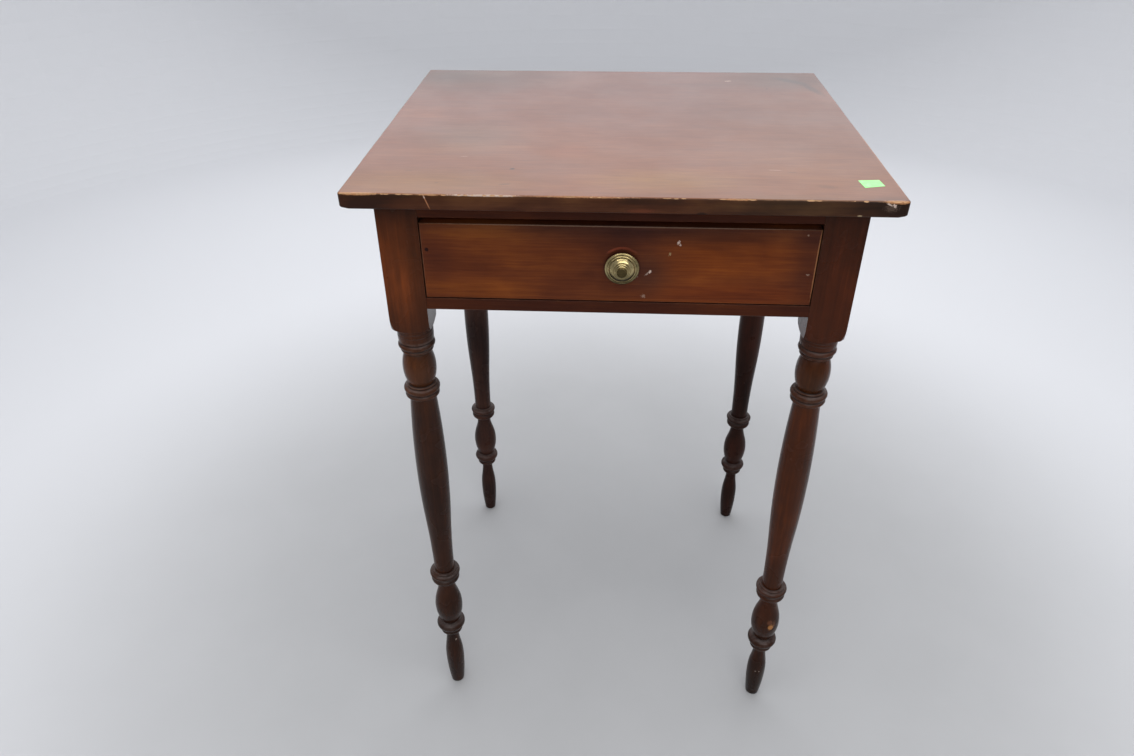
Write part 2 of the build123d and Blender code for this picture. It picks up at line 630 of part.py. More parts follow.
def pieces() -> dict:
    """Every piece of the table by name, each in its place."""
    table = {"tabletop": tabletop(), "upper_rail": upper_rail(), "lower_rail": lower_rail()}
    table.update(legs())
    table["apron_right"] = apron_right()
    table["apron_left"] = mirrored(apron_right())
    table["apron_back"] = apron_back()
    table["apron_pegs"] = pegs(0.0)
    table["runner_right"] = runner_right()
    table["runner_left"] = mirrored(runner_right())
    table["guide_right"] = guide_right()
    table["guide_left"] = mirrored(guide_right())
    table["kicker_right"] = kicker_right()
    table["kicker_left"] = mirrored(kicker_right())
    table["drawer_stops"] = drawer_stops()
    table["glue_blocks"] = glue_blocks()
    table["drawer_front"] = drawer_front()
    table["drawer_side_right"] = drawer_side_right()
    table["drawer_side_left"] = mirrored(drawer_side_right())
    table["drawer_back"] = drawer_back()
    table["drawer_bottom"] = drawer_bottom()
    table["knob"] = knob()
    table["knob_stud"] = stud(0.0)
    table["knob_nut"] = knob_nut()
    return table


os.makedirs("parts", exist_ok=True)
for name, piece in pieces().items():
    export_step(piece, f"parts/{name}.step")
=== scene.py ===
"""The finish of a small tavern table: varnished boards, turned legs, a brass knob and plain light."""
import logging
import math
import random
from dataclasses import dataclass
from enum import Enum

import bmesh
import bpy
from mathutils import Matrix, Vector, noise


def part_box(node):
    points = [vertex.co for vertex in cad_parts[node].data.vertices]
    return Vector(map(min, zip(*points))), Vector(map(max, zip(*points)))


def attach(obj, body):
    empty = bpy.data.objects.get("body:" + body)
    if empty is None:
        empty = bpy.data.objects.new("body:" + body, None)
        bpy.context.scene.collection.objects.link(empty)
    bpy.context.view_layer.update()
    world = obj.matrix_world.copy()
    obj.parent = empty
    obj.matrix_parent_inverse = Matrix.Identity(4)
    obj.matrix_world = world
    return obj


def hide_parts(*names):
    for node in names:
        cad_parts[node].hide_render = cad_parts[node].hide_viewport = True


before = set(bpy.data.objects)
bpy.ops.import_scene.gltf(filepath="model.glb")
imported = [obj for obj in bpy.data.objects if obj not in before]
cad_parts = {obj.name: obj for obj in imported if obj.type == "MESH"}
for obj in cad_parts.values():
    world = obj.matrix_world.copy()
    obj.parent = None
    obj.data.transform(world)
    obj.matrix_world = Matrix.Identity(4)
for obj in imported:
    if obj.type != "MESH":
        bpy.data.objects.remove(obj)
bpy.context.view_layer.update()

MM = 0.001
LOG = logging.getLogger("table")
Colour = tuple[float, float, float]
Triple = tuple[float, float, float]
Socket = bpy.types.NodeSocket
Value = float | Socket
ORIGIN = (0.0, 0.0, 0.0)
# The pale grey of faces that look up: dust, and painted sheen from the ceiling light.
DUST_AND_SHEEN_TONE = (0.18, 0.155, 0.15)


# ---- shader graphs --------------------------------------------------------------------------------


class Grain(Enum):
    """The way the wood's fibres run through a piece."""

    ALONG_X = 0
    ALONG_Y = 1
    ALONG_Z = 2

    def stretch(self, along: float, across: float) -> Triple:
        """Pattern scales per metre: `along` on the grain's axis and `across` on the other two."""
        return tuple(along if axis == self.value else across for axis in range(3))


class Shader:
    """A material and short ways to wire its nodes."""

    def __init__(self, name: str) -> None:
        """Starts the material with a surface shader joined to its output."""
        self.material = bpy.data.materials.new(name)
        self.material.use_nodes = True
        self.tree = self.material.node_tree
        self.tree.nodes.clear()
        output = self.node("ShaderNodeOutputMaterial")
        self.surface = self.node("ShaderNodeBsdfPrincipled")
        self.tree.links.new(self.surface.outputs["BSDF"], output.inputs["Surface"])
        self.place = self.node("ShaderNodeTexCoord").outputs["Object"]

    def node(self, kind: str) -> bpy.types.Node:
        """A new node of that kind."""
        return self.tree.nodes.new(kind)

    def feed(self, socket: Socket, value: Value | tuple[float, ...]) -> None:
        """Joins a socket to another one, or writes a plain value in it."""
        if isinstance(value, Socket):
            self.tree.links.new(value, socket)
        else:
            socket.default_value = value

    def math(self, operation: str, first: Value, second: Value = 0.0, clamp: bool = False) -> Socket:
        """One sum, product or comparison of two numbers."""
        node = self.node("ShaderNodeMath")
        node.operation, node.use_clamp = operation, clamp
        self.feed(node.inputs[0], first)
        self.feed(node.inputs[1], second)
        return node.outputs[0]

    def times(self, *factors: Value) -> Value:
        """Numbers multiplied one after the other."""
        result = factors[0]
        for factor in factors[1:]:
            result = self.math("MULTIPLY", result, factor)
        return result

    def centred(self, pattern: Socket, gain: float) -> Socket:
        """A pattern about 0 instead of 0.5, made stronger or weaker."""
        return self.times(self.math("SUBTRACT", pattern, 0.5), gain)

    def part(self, vector: Socket, axis: str) -> Socket:
        """One of the three numbers in a vector."""
        split = self.node("ShaderNodeSeparateXYZ")
        self.feed(split.inputs[0], vector)
        return split.outputs[axis]

    def length(self, vector: Socket) -> Socket:
        """How long a vector is."""
        node = self.node("ShaderNodeVectorMath")
        node.operation = "LENGTH"
        self.feed(node.inputs[0], vector)
        return node.outputs["Value"]

    def blend(self, amount: Value, first: Socket | Colour, second: Socket | Colour,
              way: str = "MIX") -> Socket:
        """Two colours blended by an amount from 0 to 1."""
        node = self.node("ShaderNodeMix")
        node.data_type, node.blend_type = "RGBA", way
        self.feed(node.inputs["Factor"], amount)
        for socket, value in ((node.inputs[6], first), (node.inputs[7], second)):
            self.feed(socket, value if isinstance(value, Socket) else (*value, 1.0))
        return node.outputs[2]

    def spread(self, value: Value, low: float, high: float, to_low: float = 0.0,
               to_high: float = 1.0) -> Socket:
        """A number moved smoothly from one range to another and held inside it.

        Args:
            value: the number or socket to move.
            low, high: the range that it comes from.
            to_low, to_high: the range that it goes to.

        Returns:
            The moved number.
        """
        node = self.node("ShaderNodeMapRange")
        node.interpolation_type = "SMOOTHSTEP"
        for index, number in enumerate((value, low, high, to_low, to_high)):
            self.feed(node.inputs[index], number)
        return node.outputs[0]

    def scaled(self, scale: Triple, shift: Triple = ORIGIN) -> Socket:
        """The place on the object, stretched for a pattern and shifted to a fresh stretch of it."""
        node = self.node("ShaderNodeMapping")
        self.feed(node.inputs["Vector"], self.place)
        node.inputs["Scale"].default_value = scale
        node.inputs["Location"].default_value = shift
        return node.outputs[0]

    def noise(self, where: Socket, detail: float = 3.0, rough: float = 0.55, warp: float = 0.0) -> Socket:
        """Cloudy noise from about 0.25 to 0.75 at that place."""
        node = self.node("ShaderNodeTexNoise")
        self.feed(node.inputs["Vector"], where)
        node.inputs["Scale"].default_value = 1.0
        node.inputs["Detail"].default_value = detail
        node.inputs["Roughness"].default_value = rough
        node.inputs["Distortion"].default_value = warp
        return node.outputs["Fac"]

    def cloud(self, scale: float, detail: float = 3.0, rough: float = 0.55,
              shift: Triple = ORIGIN) -> Socket:
        """Noise that is equally fine in every direction."""
        return self.noise(self.scaled((scale, scale, scale), shift), detail, rough)

    def ramp(self, value: Value, *stops: tuple[float, Colour]) -> Socket:
        """A colour read from a few stops."""
        node = self.node("ShaderNodeValToRGB")
        self.feed(node.inputs[0], value)
        elements = node.color_ramp.elements
        while len(elements) < len(stops):
            elements.new(0.5)
        for element, (position, colour) in zip(elements, stops):
            element.position, element.color = position, (*colour, 1.0)
        return node.outputs["Color"]

    def crevices(self, reach: float) -> Socket:
        """1 in a corner or groove narrower than `reach`, 0 on open ground."""
        node = self.node("ShaderNodeAmbientOcclusion")
        node.samples = 6
        node.inputs["Distance"].default_value = reach
        return self.spread(node.outputs["AO"], 0.85, 0.35)

    def upward(self, low: float, high: float) -> Socket:
        """0 where the surface's slope towards the sky is under `low`, and 1 where it is over `high`."""
        normal = self.node("ShaderNodeNewGeometry").outputs["Normal"]
        return self.spread(self.part(normal, "Z"), low, high)

    def crown_wear_and_highlight(self) -> Socket:
        """1 on the crown of a bead or a sharp edge, 0 elsewhere."""
        return self.spread(self.node("ShaderNodeNewGeometry").outputs["Pointiness"], 0.515, 0.56)

    def edges(self, low: Vector, high: Vector, width: float, axes: str = "XYZ") -> Socket:
        """1 on the edges of a box, fading to 0 at `width` from them.

        Args:
            low, high: opposite corners of the box.
            width: how far the edge reaches on to the faces.
            axes: the two or three axes whose faces count.

        Returns:
            The strength of the edge at each point.
        """
        depths = []
        for axis in axes:
            index = "XYZ".index(axis)
            centre, half = (low[index] + high[index]) / 2, (high[index] - low[index]) / 2
            off = self.math("ABSOLUTE", self.math("SUBTRACT", self.part(self.place, axis), centre))
            depths.append(self.math("SUBTRACT", half, off))
        second = self.math("MAXIMUM", depths[0], depths[1])
        if len(depths) == 3:
            nearer = self.math("MINIMUM", depths[0], depths[1])
            second = self.math("MAXIMUM", nearer, self.math("MINIMUM", second, depths[2]))
        return self.spread(second, width, 0.0)

    def bump(self, *layers: tuple[Socket, float]) -> None:
        """Stacks height patterns, each with its depth in metres, into the surface normal."""
        normal = None
        for height, depth in layers:
            node = self.node("ShaderNodeBump")
            node.inputs["Strength"].default_value = 1.0
            node.inputs["Distance"].default_value = depth
            self.feed(node.inputs["Height"], height)
            if normal is not None:
                self.feed(node.inputs["Normal"], normal)
            normal = node.outputs["Normal"]
        self.feed(self.surface.inputs["Normal"], normal)

    def set(self, **sockets: Value) -> None:
        """Fills the surface's sockets, named with underscores for spaces."""
        for name, value in sockets.items():
            self.feed(self.surface.inputs[name.replace("_", " ")], value)


# ---- finishes -------------------------------------------------------------------------------------


@dataclass(frozen=True)
class Mark:
    """A speck, stain, scratch, bare spot, painted highlight or painted shade: a soft ellipsoid that tints
    what it covers.

    Sizes are half-lengths in millimetres, and the turn is in degrees about Y on a front face or
    about Z on a top.
    """

    centre: Triple
    half: Triple
    tone: Colour
    turn: float = 0.0
    upright: bool = True
    strength: float = 1.0
    ragged: float = 0.5
    way: str = "MIX"
    soft: float = 0.2

    def measured(self, shader: Shader) -> tuple[Socket, Socket]:
        """The frayed distance from the centre, which is 1 on the rim, and the place in the mark."""
        node = shader.node("ShaderNodeMapping")
        node.vector_type = "TEXTURE"
        shader.feed(node.inputs["Vector"], shader.place)
        node.inputs["Location"].default_value = Vector(self.centre) * MM
        angle = math.radians(self.turn)
        node.inputs["Rotation"].default_value = (0.0, angle, 0.0) if self.upright else (0.0, 0.0, angle)
        node.inputs["Scale"].default_value = Vector(self.half) * MM
        frayed = shader.centred(shader.cloud(900.0, 2.0), self.ragged * 2)
        return shader.math("ADD", shader.length(node.outputs[0]), frayed), node.outputs[0]

    def amount(self, shader: Shader) -> Socket:
        """How much of the mark shows at each point."""
        rim, _ = self.measured(shader)
        return shader.times(shader.spread(rim, 1.0 + self.soft, 1.0 - self.soft), self.strength)


@dataclass(frozen=True)
class RingMark(Mark):
    """The ghost of an older, larger knob: a ring at the half-lengths that fades below its top."""

    width: float = 1.0

    def amount(self, shader: Shader) -> Socket:
        """How much of the ring shows at each point."""
        rim, place = self.measured(shader)
        off = shader.math("ABSOLUTE", shader.math("SUBTRACT", rim, 1.0))
        ring = shader.spread(off, self.width * 1.3 / self.half[0], self.width * 0.4 / self.half[0])
        upper = shader.times(shader.spread(shader.part(place, "Z"), 0.62, 0.86),
                             shader.spread(shader.part(place, "X"), 0.9, -0.5, 0.4, 1.0))
        return shader.times(ring, upper, self.strength)


@dataclass(frozen=True)
class OldVarnish:
    """Reddish brown stain under a worn clear coat."""

    deep: Colour
    body: Colour
    glow: Colour
    bare: Colour = (0.42, 0.20, 0.085)
    # crown: the pale grey of worn crowns, partly wear and partly painted highlight
    crown: Colour = (0.125, 0.098, 0.088)
    # grime_and_shade: the colour that corners and gaps darken to, partly grime and partly painted shade
    grime_and_shade: Colour = (0.012, 0.007, 0.006)
    dust_and_sheen: float = 0.0
    shortness: float = 1.0
    mottle: float = 1.0
    fine: float = 0.5
    lined: float = 0.4
    streak: float = 1.0
    patch: float = 1.0
    roughness: float = 0.34
    specular: float = 0.5
    worn_edge: float = 0.55
    edge_width: float = 1.1
    crevice: float = 0.006
    rubbed: float = 0.06
    ripple: float = 0.00010

    def material(self, name: str, grain: Grain, seed: float, box: tuple[Vector, Vector] | None = None,
                 box_axes: str = "XYZ", turned_below: float = 0.0,
                 marks: tuple[Mark, ...] = ()) -> bpy.types.Material:
        """The stained and varnished wood of one piece.

        Args:
            name: the material's name.
            grain: the axis that the fibres follow.
            seed: a shift that gives each piece its own figure.
            box: the piece's corners, where its edges have worn.
            box_axes: the axes whose faces make those edges.
            turned_below: the height in metres under which the crowns of beads and rings turn pale grey,
                partly wear and partly painted highlight.
            marks: the piece's own tints, which lie under wear, dust and painted light, and scars, which lie
                over them.

        Returns:
            The material.
        """
        shader = Shader(name)
        shift = (seed * 1.7, seed * 2.3, seed * 3.1)
        short, blotch = self.shortness, self.mottle
        figure = shader.noise(shader.scaled(grain.stretch(1.6 * short, 17.0), shift), 3.0, 0.5, 0.5)
        streaks = shader.noise(shader.scaled(grain.stretch(5.0 * short, 150.0), shift), 5.0, 0.6)
        mottled = shader.scaled(grain.stretch(6.0 * blotch, 11.0 * blotch), shift)
        patches = shader.noise(mottled, 3.0, 0.5, 0.3)
        lines = shader.noise(shader.scaled(grain.stretch(9.0 * short, 520.0), shift), 3.0, 0.6)
        pores = shader.noise(shader.scaled(grain.stretch(45.0, 1700.0), shift), 2.0, 0.5)
        tone = shader.centred(figure, 1.1 * self.streak)
        for pattern, gain in ((streaks, self.fine), (patches, 1.5 * self.patch), (lines, self.lined)):
            tone = shader.math("ADD", tone, shader.centred(pattern, gain))
        tone = shader.math("ADD", tone, 0.5)
        colour = shader.ramp(tone, (0.22, self.deep), (0.5, self.body), (0.78, self.glow))
        colour = shader.blend(shader.spread(pores, 0.56, 0.72, 0.0, 0.35), colour, self.deep)
        for mark in marks:
            if mark.way == "MULTIPLY":
                colour = shader.blend(mark.amount(shader), colour, mark.tone, mark.way)

        grit = shader.cloud(70.0, 4.0, 0.65, shift)
        if box is not None:
            nibbled = shader.cloud(260.0, 3.0, 0.6, shift)
            edge = shader.times(shader.edges(*box, self.edge_width * MM, box_axes),
                                shader.spread(grit, 0.42, 0.62, 0.15, 1.0),
                                shader.spread(nibbled, 0.4, 0.58, 0.2, 1.0), self.worn_edge)
            colour = shader.blend(edge, colour, self.bare)
        # Wear and painted highlight: the crowns of beads and rings take a pale grey tone, partly rubbed
        # varnish and partly the sheen of the room painted on them.
        if turned_below > 0.0:
            height = shader.part(shader.place, "Z")
            crown = shader.times(shader.crown_wear_and_highlight(), shader.spread(grit, 0.38, 0.6),
                                 shader.spread(height, turned_below, turned_below - 2 * MM), 0.45)
            colour = shader.blend(crown, colour, self.crown)
        # Painted shade: ambient occlusion darkens corners, grooves and the gaps between parts towards the
        # grime colour, partly grime and partly the shade that falls there.
        grime_and_shade = shader.crevices(self.crevice)
        colour = shader.blend(shader.times(grime_and_shade, 0.8), colour, self.grime_and_shade)
        # Dust and painted sheen: faces that look up take a pale grey, partly dust on the ledges and partly
        # the sheen of the ceiling light painted on them.
        if self.dust_and_sheen > 0.0:
            ledge_dust_and_sheen = shader.times(shader.upward(0.35, 0.85), shader.spread(grit, 0.35, 0.6, 0.4, 1.0),
                                 self.dust_and_sheen)
            colour = shader.blend(ledge_dust_and_sheen, colour, DUST_AND_SHEEN_TONE)
        for mark in marks:
            if mark.way != "MULTIPLY":
                colour = shader.blend(mark.amount(shader), colour, mark.tone, mark.way)

        handling = shader.spread(shader.cloud(16.0, 3.0, 0.6, shift), 0.3, 0.7,
                                 self.roughness - self.rubbed, self.roughness + self.rubbed)
        rough = shader.math("ADD", handling, shader.times(grime_and_shade, 0.25), clamp=True)
        shader.set(Base_Color=colour, Roughness=rough, Specular_IOR_Level=self.specular)
        ripple = shader.cloud(38.0, 2.0, shift=shift)
        shader.bump((ripple, self.ripple), (streaks, 0.00004), (pores, 0.00003), (grit, 0.00002))
        return shader.material


@dataclass(frozen=True)
class PlainWood:
    """Unfinished secondary wood that has gone brown and dusty."""

    pale: Colour = (0.36, 0.22, 0.115)
    dark: Colour = (0.17, 0.085, 0.04)
    # dirt_and_shade: the colour of stains and dirty edges, and of painted shade in corners and gaps
    dirt_and_shade: Colour = (0.05, 0.032, 0.022)
    roughness: float = 0.72

    def material(self, name: str, grain: Grain, seed: float,
                 box: tuple[Vector, Vector]) -> bpy.types.Material:
        """Bare boards with growth lines, fine fibres and dirty edges.

        Args:
            name: the material's name.
            grain: the axis that the fibres follow.
            seed: a shift that gives each board its own figure.
            box: the board's corners.

        Returns:
            The material.
        """
        shader = Shader(name)
        shift = (seed * 1.3, seed * 2.9, seed * 0.7)
        lines = shader.noise(shader.scaled(grain.stretch(2.2, 60.0), shift), 4.0, 0.6, 0.8)
        fibres = shader.noise(shader.scaled(grain.stretch(14.0, 700.0), shift), 3.0, 0.6)
        stains = shader.cloud(7.0, 4.0, 0.6, shift)
        mixed = shader.math("ADD", shader.times(lines, 0.7), shader.times(fibres, 0.3))
        colour = shader.ramp(mixed, (0.36, self.dark), (0.62, self.pale))
        colour = shader.blend(shader.spread(stains, 0.48, 0.72, 0.0, 0.6), colour, self.dirt_and_shade)
        colour = shader.blend(shader.times(shader.edges(*box, 2.2 * MM), 0.3), colour, self.dirt_and_shade)
        # Painted shade: ambient occlusion lays the dirt colour into corners and the gaps between parts.
        colour = shader.blend(shader.times(shader.crevices(0.008), 0.7), colour, self.dirt_and_shade)
        shader.set(Base_Color=colour, Roughness=shader.spread(fibres, 0.3, 0.7, self.roughness - 0.08,
                                                              self.roughness + 0.1),
                   Specular_IOR_Level=0.3)
        shader.bump((lines, 0.00012), (fibres, 0.0001))
        return shader.material


@dataclass(frozen=True)
class AgedBrass:
    """Lacquered brass gone olive in the hollows and bright on the ridges."""

    bright: Colour = (0.52, 0.42, 0.21)
    dull: Colour = (0.22, 0.18, 0.085)
    tarnish_and_shade: Colour = (0.030, 0.024, 0.013)
    roughness: float = 0.25

    def material(self, name: str, marks: tuple[Mark, ...]) -> bpy.types.Material:
        """Brass with tarnish in the hollows, tarnish and painted shade underneath, and small dark spots.

        Args:
            name: the material's name.
            marks: darker and brighter places, some tarnish and some painted highlight and painted shade.

        Returns:
            The material.
        """
        shader = Shader(name)
        clouds = shader.cloud(120.0, 3.0, 0.5)
        spots = shader.cloud(700.0, 2.0, 0.5)
        colour = shader.blend(shader.spread(clouds, 0.35, 0.75), self.bright, self.dull)
        colour = shader.blend(shader.spread(spots, 0.62, 0.74, 0.0, 0.4), colour, self.tarnish_and_shade)
        hollow = shader.crevices(0.0022)
        colour = shader.blend(shader.times(hollow, 0.2), colour, self.tarnish_and_shade)
        # Tarnish and painted shade: faces that look down go dark, partly tarnish and partly painted shade
        # over the floor's reflection.
        colour = shader.blend(shader.times(shader.upward(0.1, -0.4), 0.94), colour, self.tarnish_and_shade)
        for mark in marks:
            colour = shader.blend(mark.amount(shader), colour, mark.tone, mark.way)
        handled = shader.spread(clouds, 0.3, 0.7, self.roughness - 0.06, self.roughness + 0.1)
        rough = shader.math("ADD", handled, shader.times(hollow, 0.3), clamp=True)
        shader.set(Base_Color=colour, Metallic=1.0, Roughness=rough)
        shader.bump((clouds, 0.00002), (spots, 0.000005))
        return shader.material


@dataclass(frozen=True)
class DullSteel:
    """Plain steel with brown rust blooms."""

    bright: Colour = (0.30, 0.29, 0.28)
    rust: Colour = (0.11, 0.05, 0.025)

    def material(self, name: str) -> bpy.types.Material:
        """Grey steel, rougher and browner where it has rusted."""
        shader = Shader(name)
        blooms = shader.spread(shader.cloud(420.0, 4.0, 0.65), 0.45, 0.62)
        shader.set(Base_Color=shader.blend(blooms, self.bright, self.rust),
                   Metallic=shader.math("SUBTRACT", 1.0, shader.times(blooms, 0.8)),
                   Roughness=shader.spread(blooms, 0.0, 1.0, 0.38, 0.8))
        shader.bump((blooms, 0.00004))
        return shader.material


@dataclass(frozen=True)
class StickerPaper:
    """Bright green coated paper with nothing written on it."""

    ink: Colour = (0.30, 0.80, 0.26)
    pale: Colour = (0.50, 0.90, 0.46)

    def material(self, name: str) -> bpy.types.Material:
        """Faintly mottled paper that shows its fibres up close."""
        shader = Shader(name)
        fibres = shader.cloud(1500.0, 3.0, 0.7)
        rubbed = shader.cloud(160.0, 3.0, 0.6)
        colour = shader.blend(shader.spread(rubbed, 0.45, 0.75, 0.0, 0.7), self.ink, self.pale)
        shader.set(Base_Color=colour, Roughness=shader.spread(fibres, 0.3, 0.7, 0.5, 0.65))
        shader.bump((fibres, 0.00002))
        return shader.material


@dataclass(frozen=True)
class StudioPaint:
    """The matt paint of the floor and the wall behind."""

    floor: Colour
    wall: Colour
    shaded: Colour
    floor_reach: float
    wall_reach: float

    def material(self, name: str) -> bpy.types.Material:
        """A floor tone that turns into the wall's tone with distance from the middle."""
        shader = Shader(name)
        far = shader.spread(shader.length(shader.place), self.floor_reach, self.wall_reach)
        scuffed = tuple(channel * 0.96 for channel in self.floor)
        near = shader.blend(shader.spread(shader.cloud(4.0, 4.0, 0.6), 0.3, 0.7), scuffed, self.floor)
        depth = shader.part(shader.place, "Y")
        wall = shader.blend(shader.spread(depth, -0.6, -1.6), self.wall, self.shaded)
        shader.set(Base_Color=shader.blend(far, near, wall), Roughness=0.85, Specular_IOR_Level=0.2)
        return shader.material


# ---- mesh helpers ---------------------------------------------------------------------------------


def finish_mesh(mesh: bmesh.types.BMesh, name: str, *materials: bpy.types.Material,
                sharp: float = 35.0) -> bpy.types.Object:
    """Turns a finished mesh into an object in the scene.

    Args:
        mesh: the mesh, which is freed.
        name: the name of the piece.
        materials: its material slots in order.
        sharp: the angle in degrees past which an edge stays sharp.

    Returns:
        The object, at the origin.
    """
    bmesh.ops.recalc_face_normals(mesh, faces=mesh.faces)
    data = bpy.data.meshes.new(name)
    mesh.to_mesh(data)
    mesh.free()
    for material in materials:
        data.materials.append(material)
    smooth_mesh(data, sharp)
    piece = bpy.data.objects.new(name, data)
    bpy.context.scene.collection.objects.link(piece)
    return piece


def smooth_mesh(data: bpy.types.Mesh, sharp: float) -> None:
    """Shades curved faces smooth, and leaves large flat faces and sharp edges as they are."""
    large_face = 300 * MM * MM
    data.shade_smooth()
    data.set_sharp_from_angle(angle=math.radians(sharp))
    for face in data.polygons:
        if face.area > large_face:
            face.use_smooth = False


def round_edges(mesh: bmesh.types.BMesh, edges: list[bmesh.types.BMEdge], width: float,
                segments: int) -> None:
    """Rounds some edges of a mesh, to a width in millimetres."""
    bmesh.ops.bevel(mesh, geom=edges, offset=width * MM, segments=segments, profile=0.5,
                    affect="EDGES", material=-1, clamp_overlap=True)


def spin_round(mesh: bmesh.types.BMesh, steps: int, join: float) -> None:
    """Spins a whole outline once round the Z axis, and joins points nearer than `join` metres."""
    bmesh.ops.spin(mesh, geom=mesh.verts[:] + mesh.edges[:], cent=ORIGIN, axis=(0.0, 0.0, 1.0),
                   angle=2 * math.pi, steps=steps, use_merge=True, use_duplicate=False)
    bmesh.ops.remove_doubles(mesh, verts=mesh.verts, dist=join)


def cut_away(piece: bpy.types.Object, cutter: bpy.types.Object) -> None:
    """Takes the cutter's shape out of a piece, and lines the hollows with the cutter's material."""
    modifier = piece.modifiers.new("cut", "BOOLEAN")
    modifier.operation, modifier.solver, modifier.object = "DIFFERENCE", "EXACT", cutter
    modifier.material_mode, modifier.use_self = "TRANSFER", True
    whole = piece.data
    carved = piece.evaluated_get(bpy.context.evaluated_depsgraph_get())
    piece.data = bpy.data.meshes.new_from_object(carved)
    piece.modifiers.clear()
    bpy.data.objects.remove(cutter)
    bpy.data.meshes.remove(whole)
    smooth_mesh(piece.data, 40.0)


class Outline:
    """Half the outline of a turning, drawn from the axis at its foot to the axis at its head."""

    def __init__(self, height: float) -> None:
        """Starts on the axis at that height, in millimetres."""
        self.mesh = bmesh.new()
        self.radius, self.height = 0.0, height
        self.tip = self.mesh.verts.new((0.0, 0.0, height * MM))

    def line_to(self, radius: float, height: float) -> None:
        """A straight run."""
        made = bmesh.ops.extrude_vert_indiv(self.mesh, verts=[self.tip])
        self.tip = made["verts"][0]
        self.radius, self.height = radius, height
        self.tip.co = Vector((radius, 0.0, height)) * MM

    def arc_to(self, radius: float, height: float, rise: float, steps: int = 0) -> None:
        """An arc whose middle stands `rise` outside its chord, or inside where `rise` is below zero.

        Args:
            radius, height: where it ends.
            rise: how far its middle stands off the chord.
            steps: how many pieces it has, or 0 for one about every 12 degrees and every 6 mm.
        """
        chord = Vector((radius - self.radius, 0.0, height - self.height))
        size, lift = chord.length, abs(rise)
        bend = (size * size / 4 + lift * lift) / (2 * lift)
        half = math.asin(min(1.0, size / 2 / bend))
        if lift > size / 2:
            half = math.pi - half
        outward = Vector((chord.z, 0.0, -chord.x)).normalized() * (1.0 if rise > 0 else -1.0)
        middle = Vector((self.radius + radius, 0.0, self.height + height)) / 2
        centre = middle - outward * (bend - lift)
        steps = steps or max(4, round(math.degrees(2 * half) / 12), round(2 * half * bend / 6))
        spun = bmesh.ops.spin(self.mesh, geom=[self.tip], cent=centre * MM,
                              axis=(0.0, -1.0 if rise > 0 else 1.0, 0.0), angle=2 * half, steps=steps,
                              use_merge=False, use_duplicate=False)
        self.tip = next(part for part in spun["geom_last"] if isinstance(part, bmesh.types.BMVert))
        self.radius, self.height = radius, height
        self.tip.co = Vector((radius, 0.0, height)) * MM

    def bow_to(self, radius: float, height: float) -> None:
        """An arc that is upright at its wider end."""
        across, up = abs(radius - self.radius), height - self.height
        bend = (up * up + across * across) / (2 * across)
        self.arc_to(radius, height, bend * (1 - math.cos(math.asin(min(1.0, up / bend)) / 2)))

    def ogee_to(self, radius: float, height: float) -> None:
        """Two arcs that meet halfway, upright at their outer ends."""
        middle = ((self.radius + radius) / 2, (self.height + height) / 2)
        across, up = abs(radius - self.radius) / 2, (height - self.height) / 2
        bend = (up * up + across * across) / (2 * across)
        rise = bend * (1 - math.cos(math.asin(up / bend) / 2)) * (1 if radius < self.radius else -1)
        self.arc_to(*middle, rise)
        self.arc_to(radius, height, -rise)

    def bead(self, length: float, crown: float, root: float, fullness: float = 0.9) -> None:
        """A bead that stands out to its crown and ends at the root radius above it.

        Args:
            length: its height along the axis.
            crown: its largest radius.
            root: the radius where the next form begins.
            fullness: 1 for a half round, less for a flatter bead.
        """
        rise = length / 2 * fullness
        self.line_to(crown - rise, self.height)
        self.arc_to(crown - rise, self.height + length, rise, 9)
        self.line_to(root, self.height)

    def turned(self, around: int) -> bmesh.types.BMesh:
        """Ends the outline on the axis and spins it once round.

        Args:
            around: the number of steps in the turn.

        Returns:
            The closed mesh about the Z axis.
        """
        self.line_to(0.0, self.height)
        spin_round(self.mesh, around, 1e-6)
        bmesh.ops.recalc_face_normals(self.mesh, faces=self.mesh.faces)
        return self.mesh


# ---- legs -----------------------------------------------------------------------------------------


@dataclass(frozen=True)
class Handwork:
    """How one leg strays from the pattern that all four were turned to, in millimetres."""

    node: str
    sign_x: int
    sign_y: int
    neck_rise: float = 0.0
    ankle_rise: float = 0.0
    quarter_turns: int = 0
    marks: tuple[Mark, ...] = ()


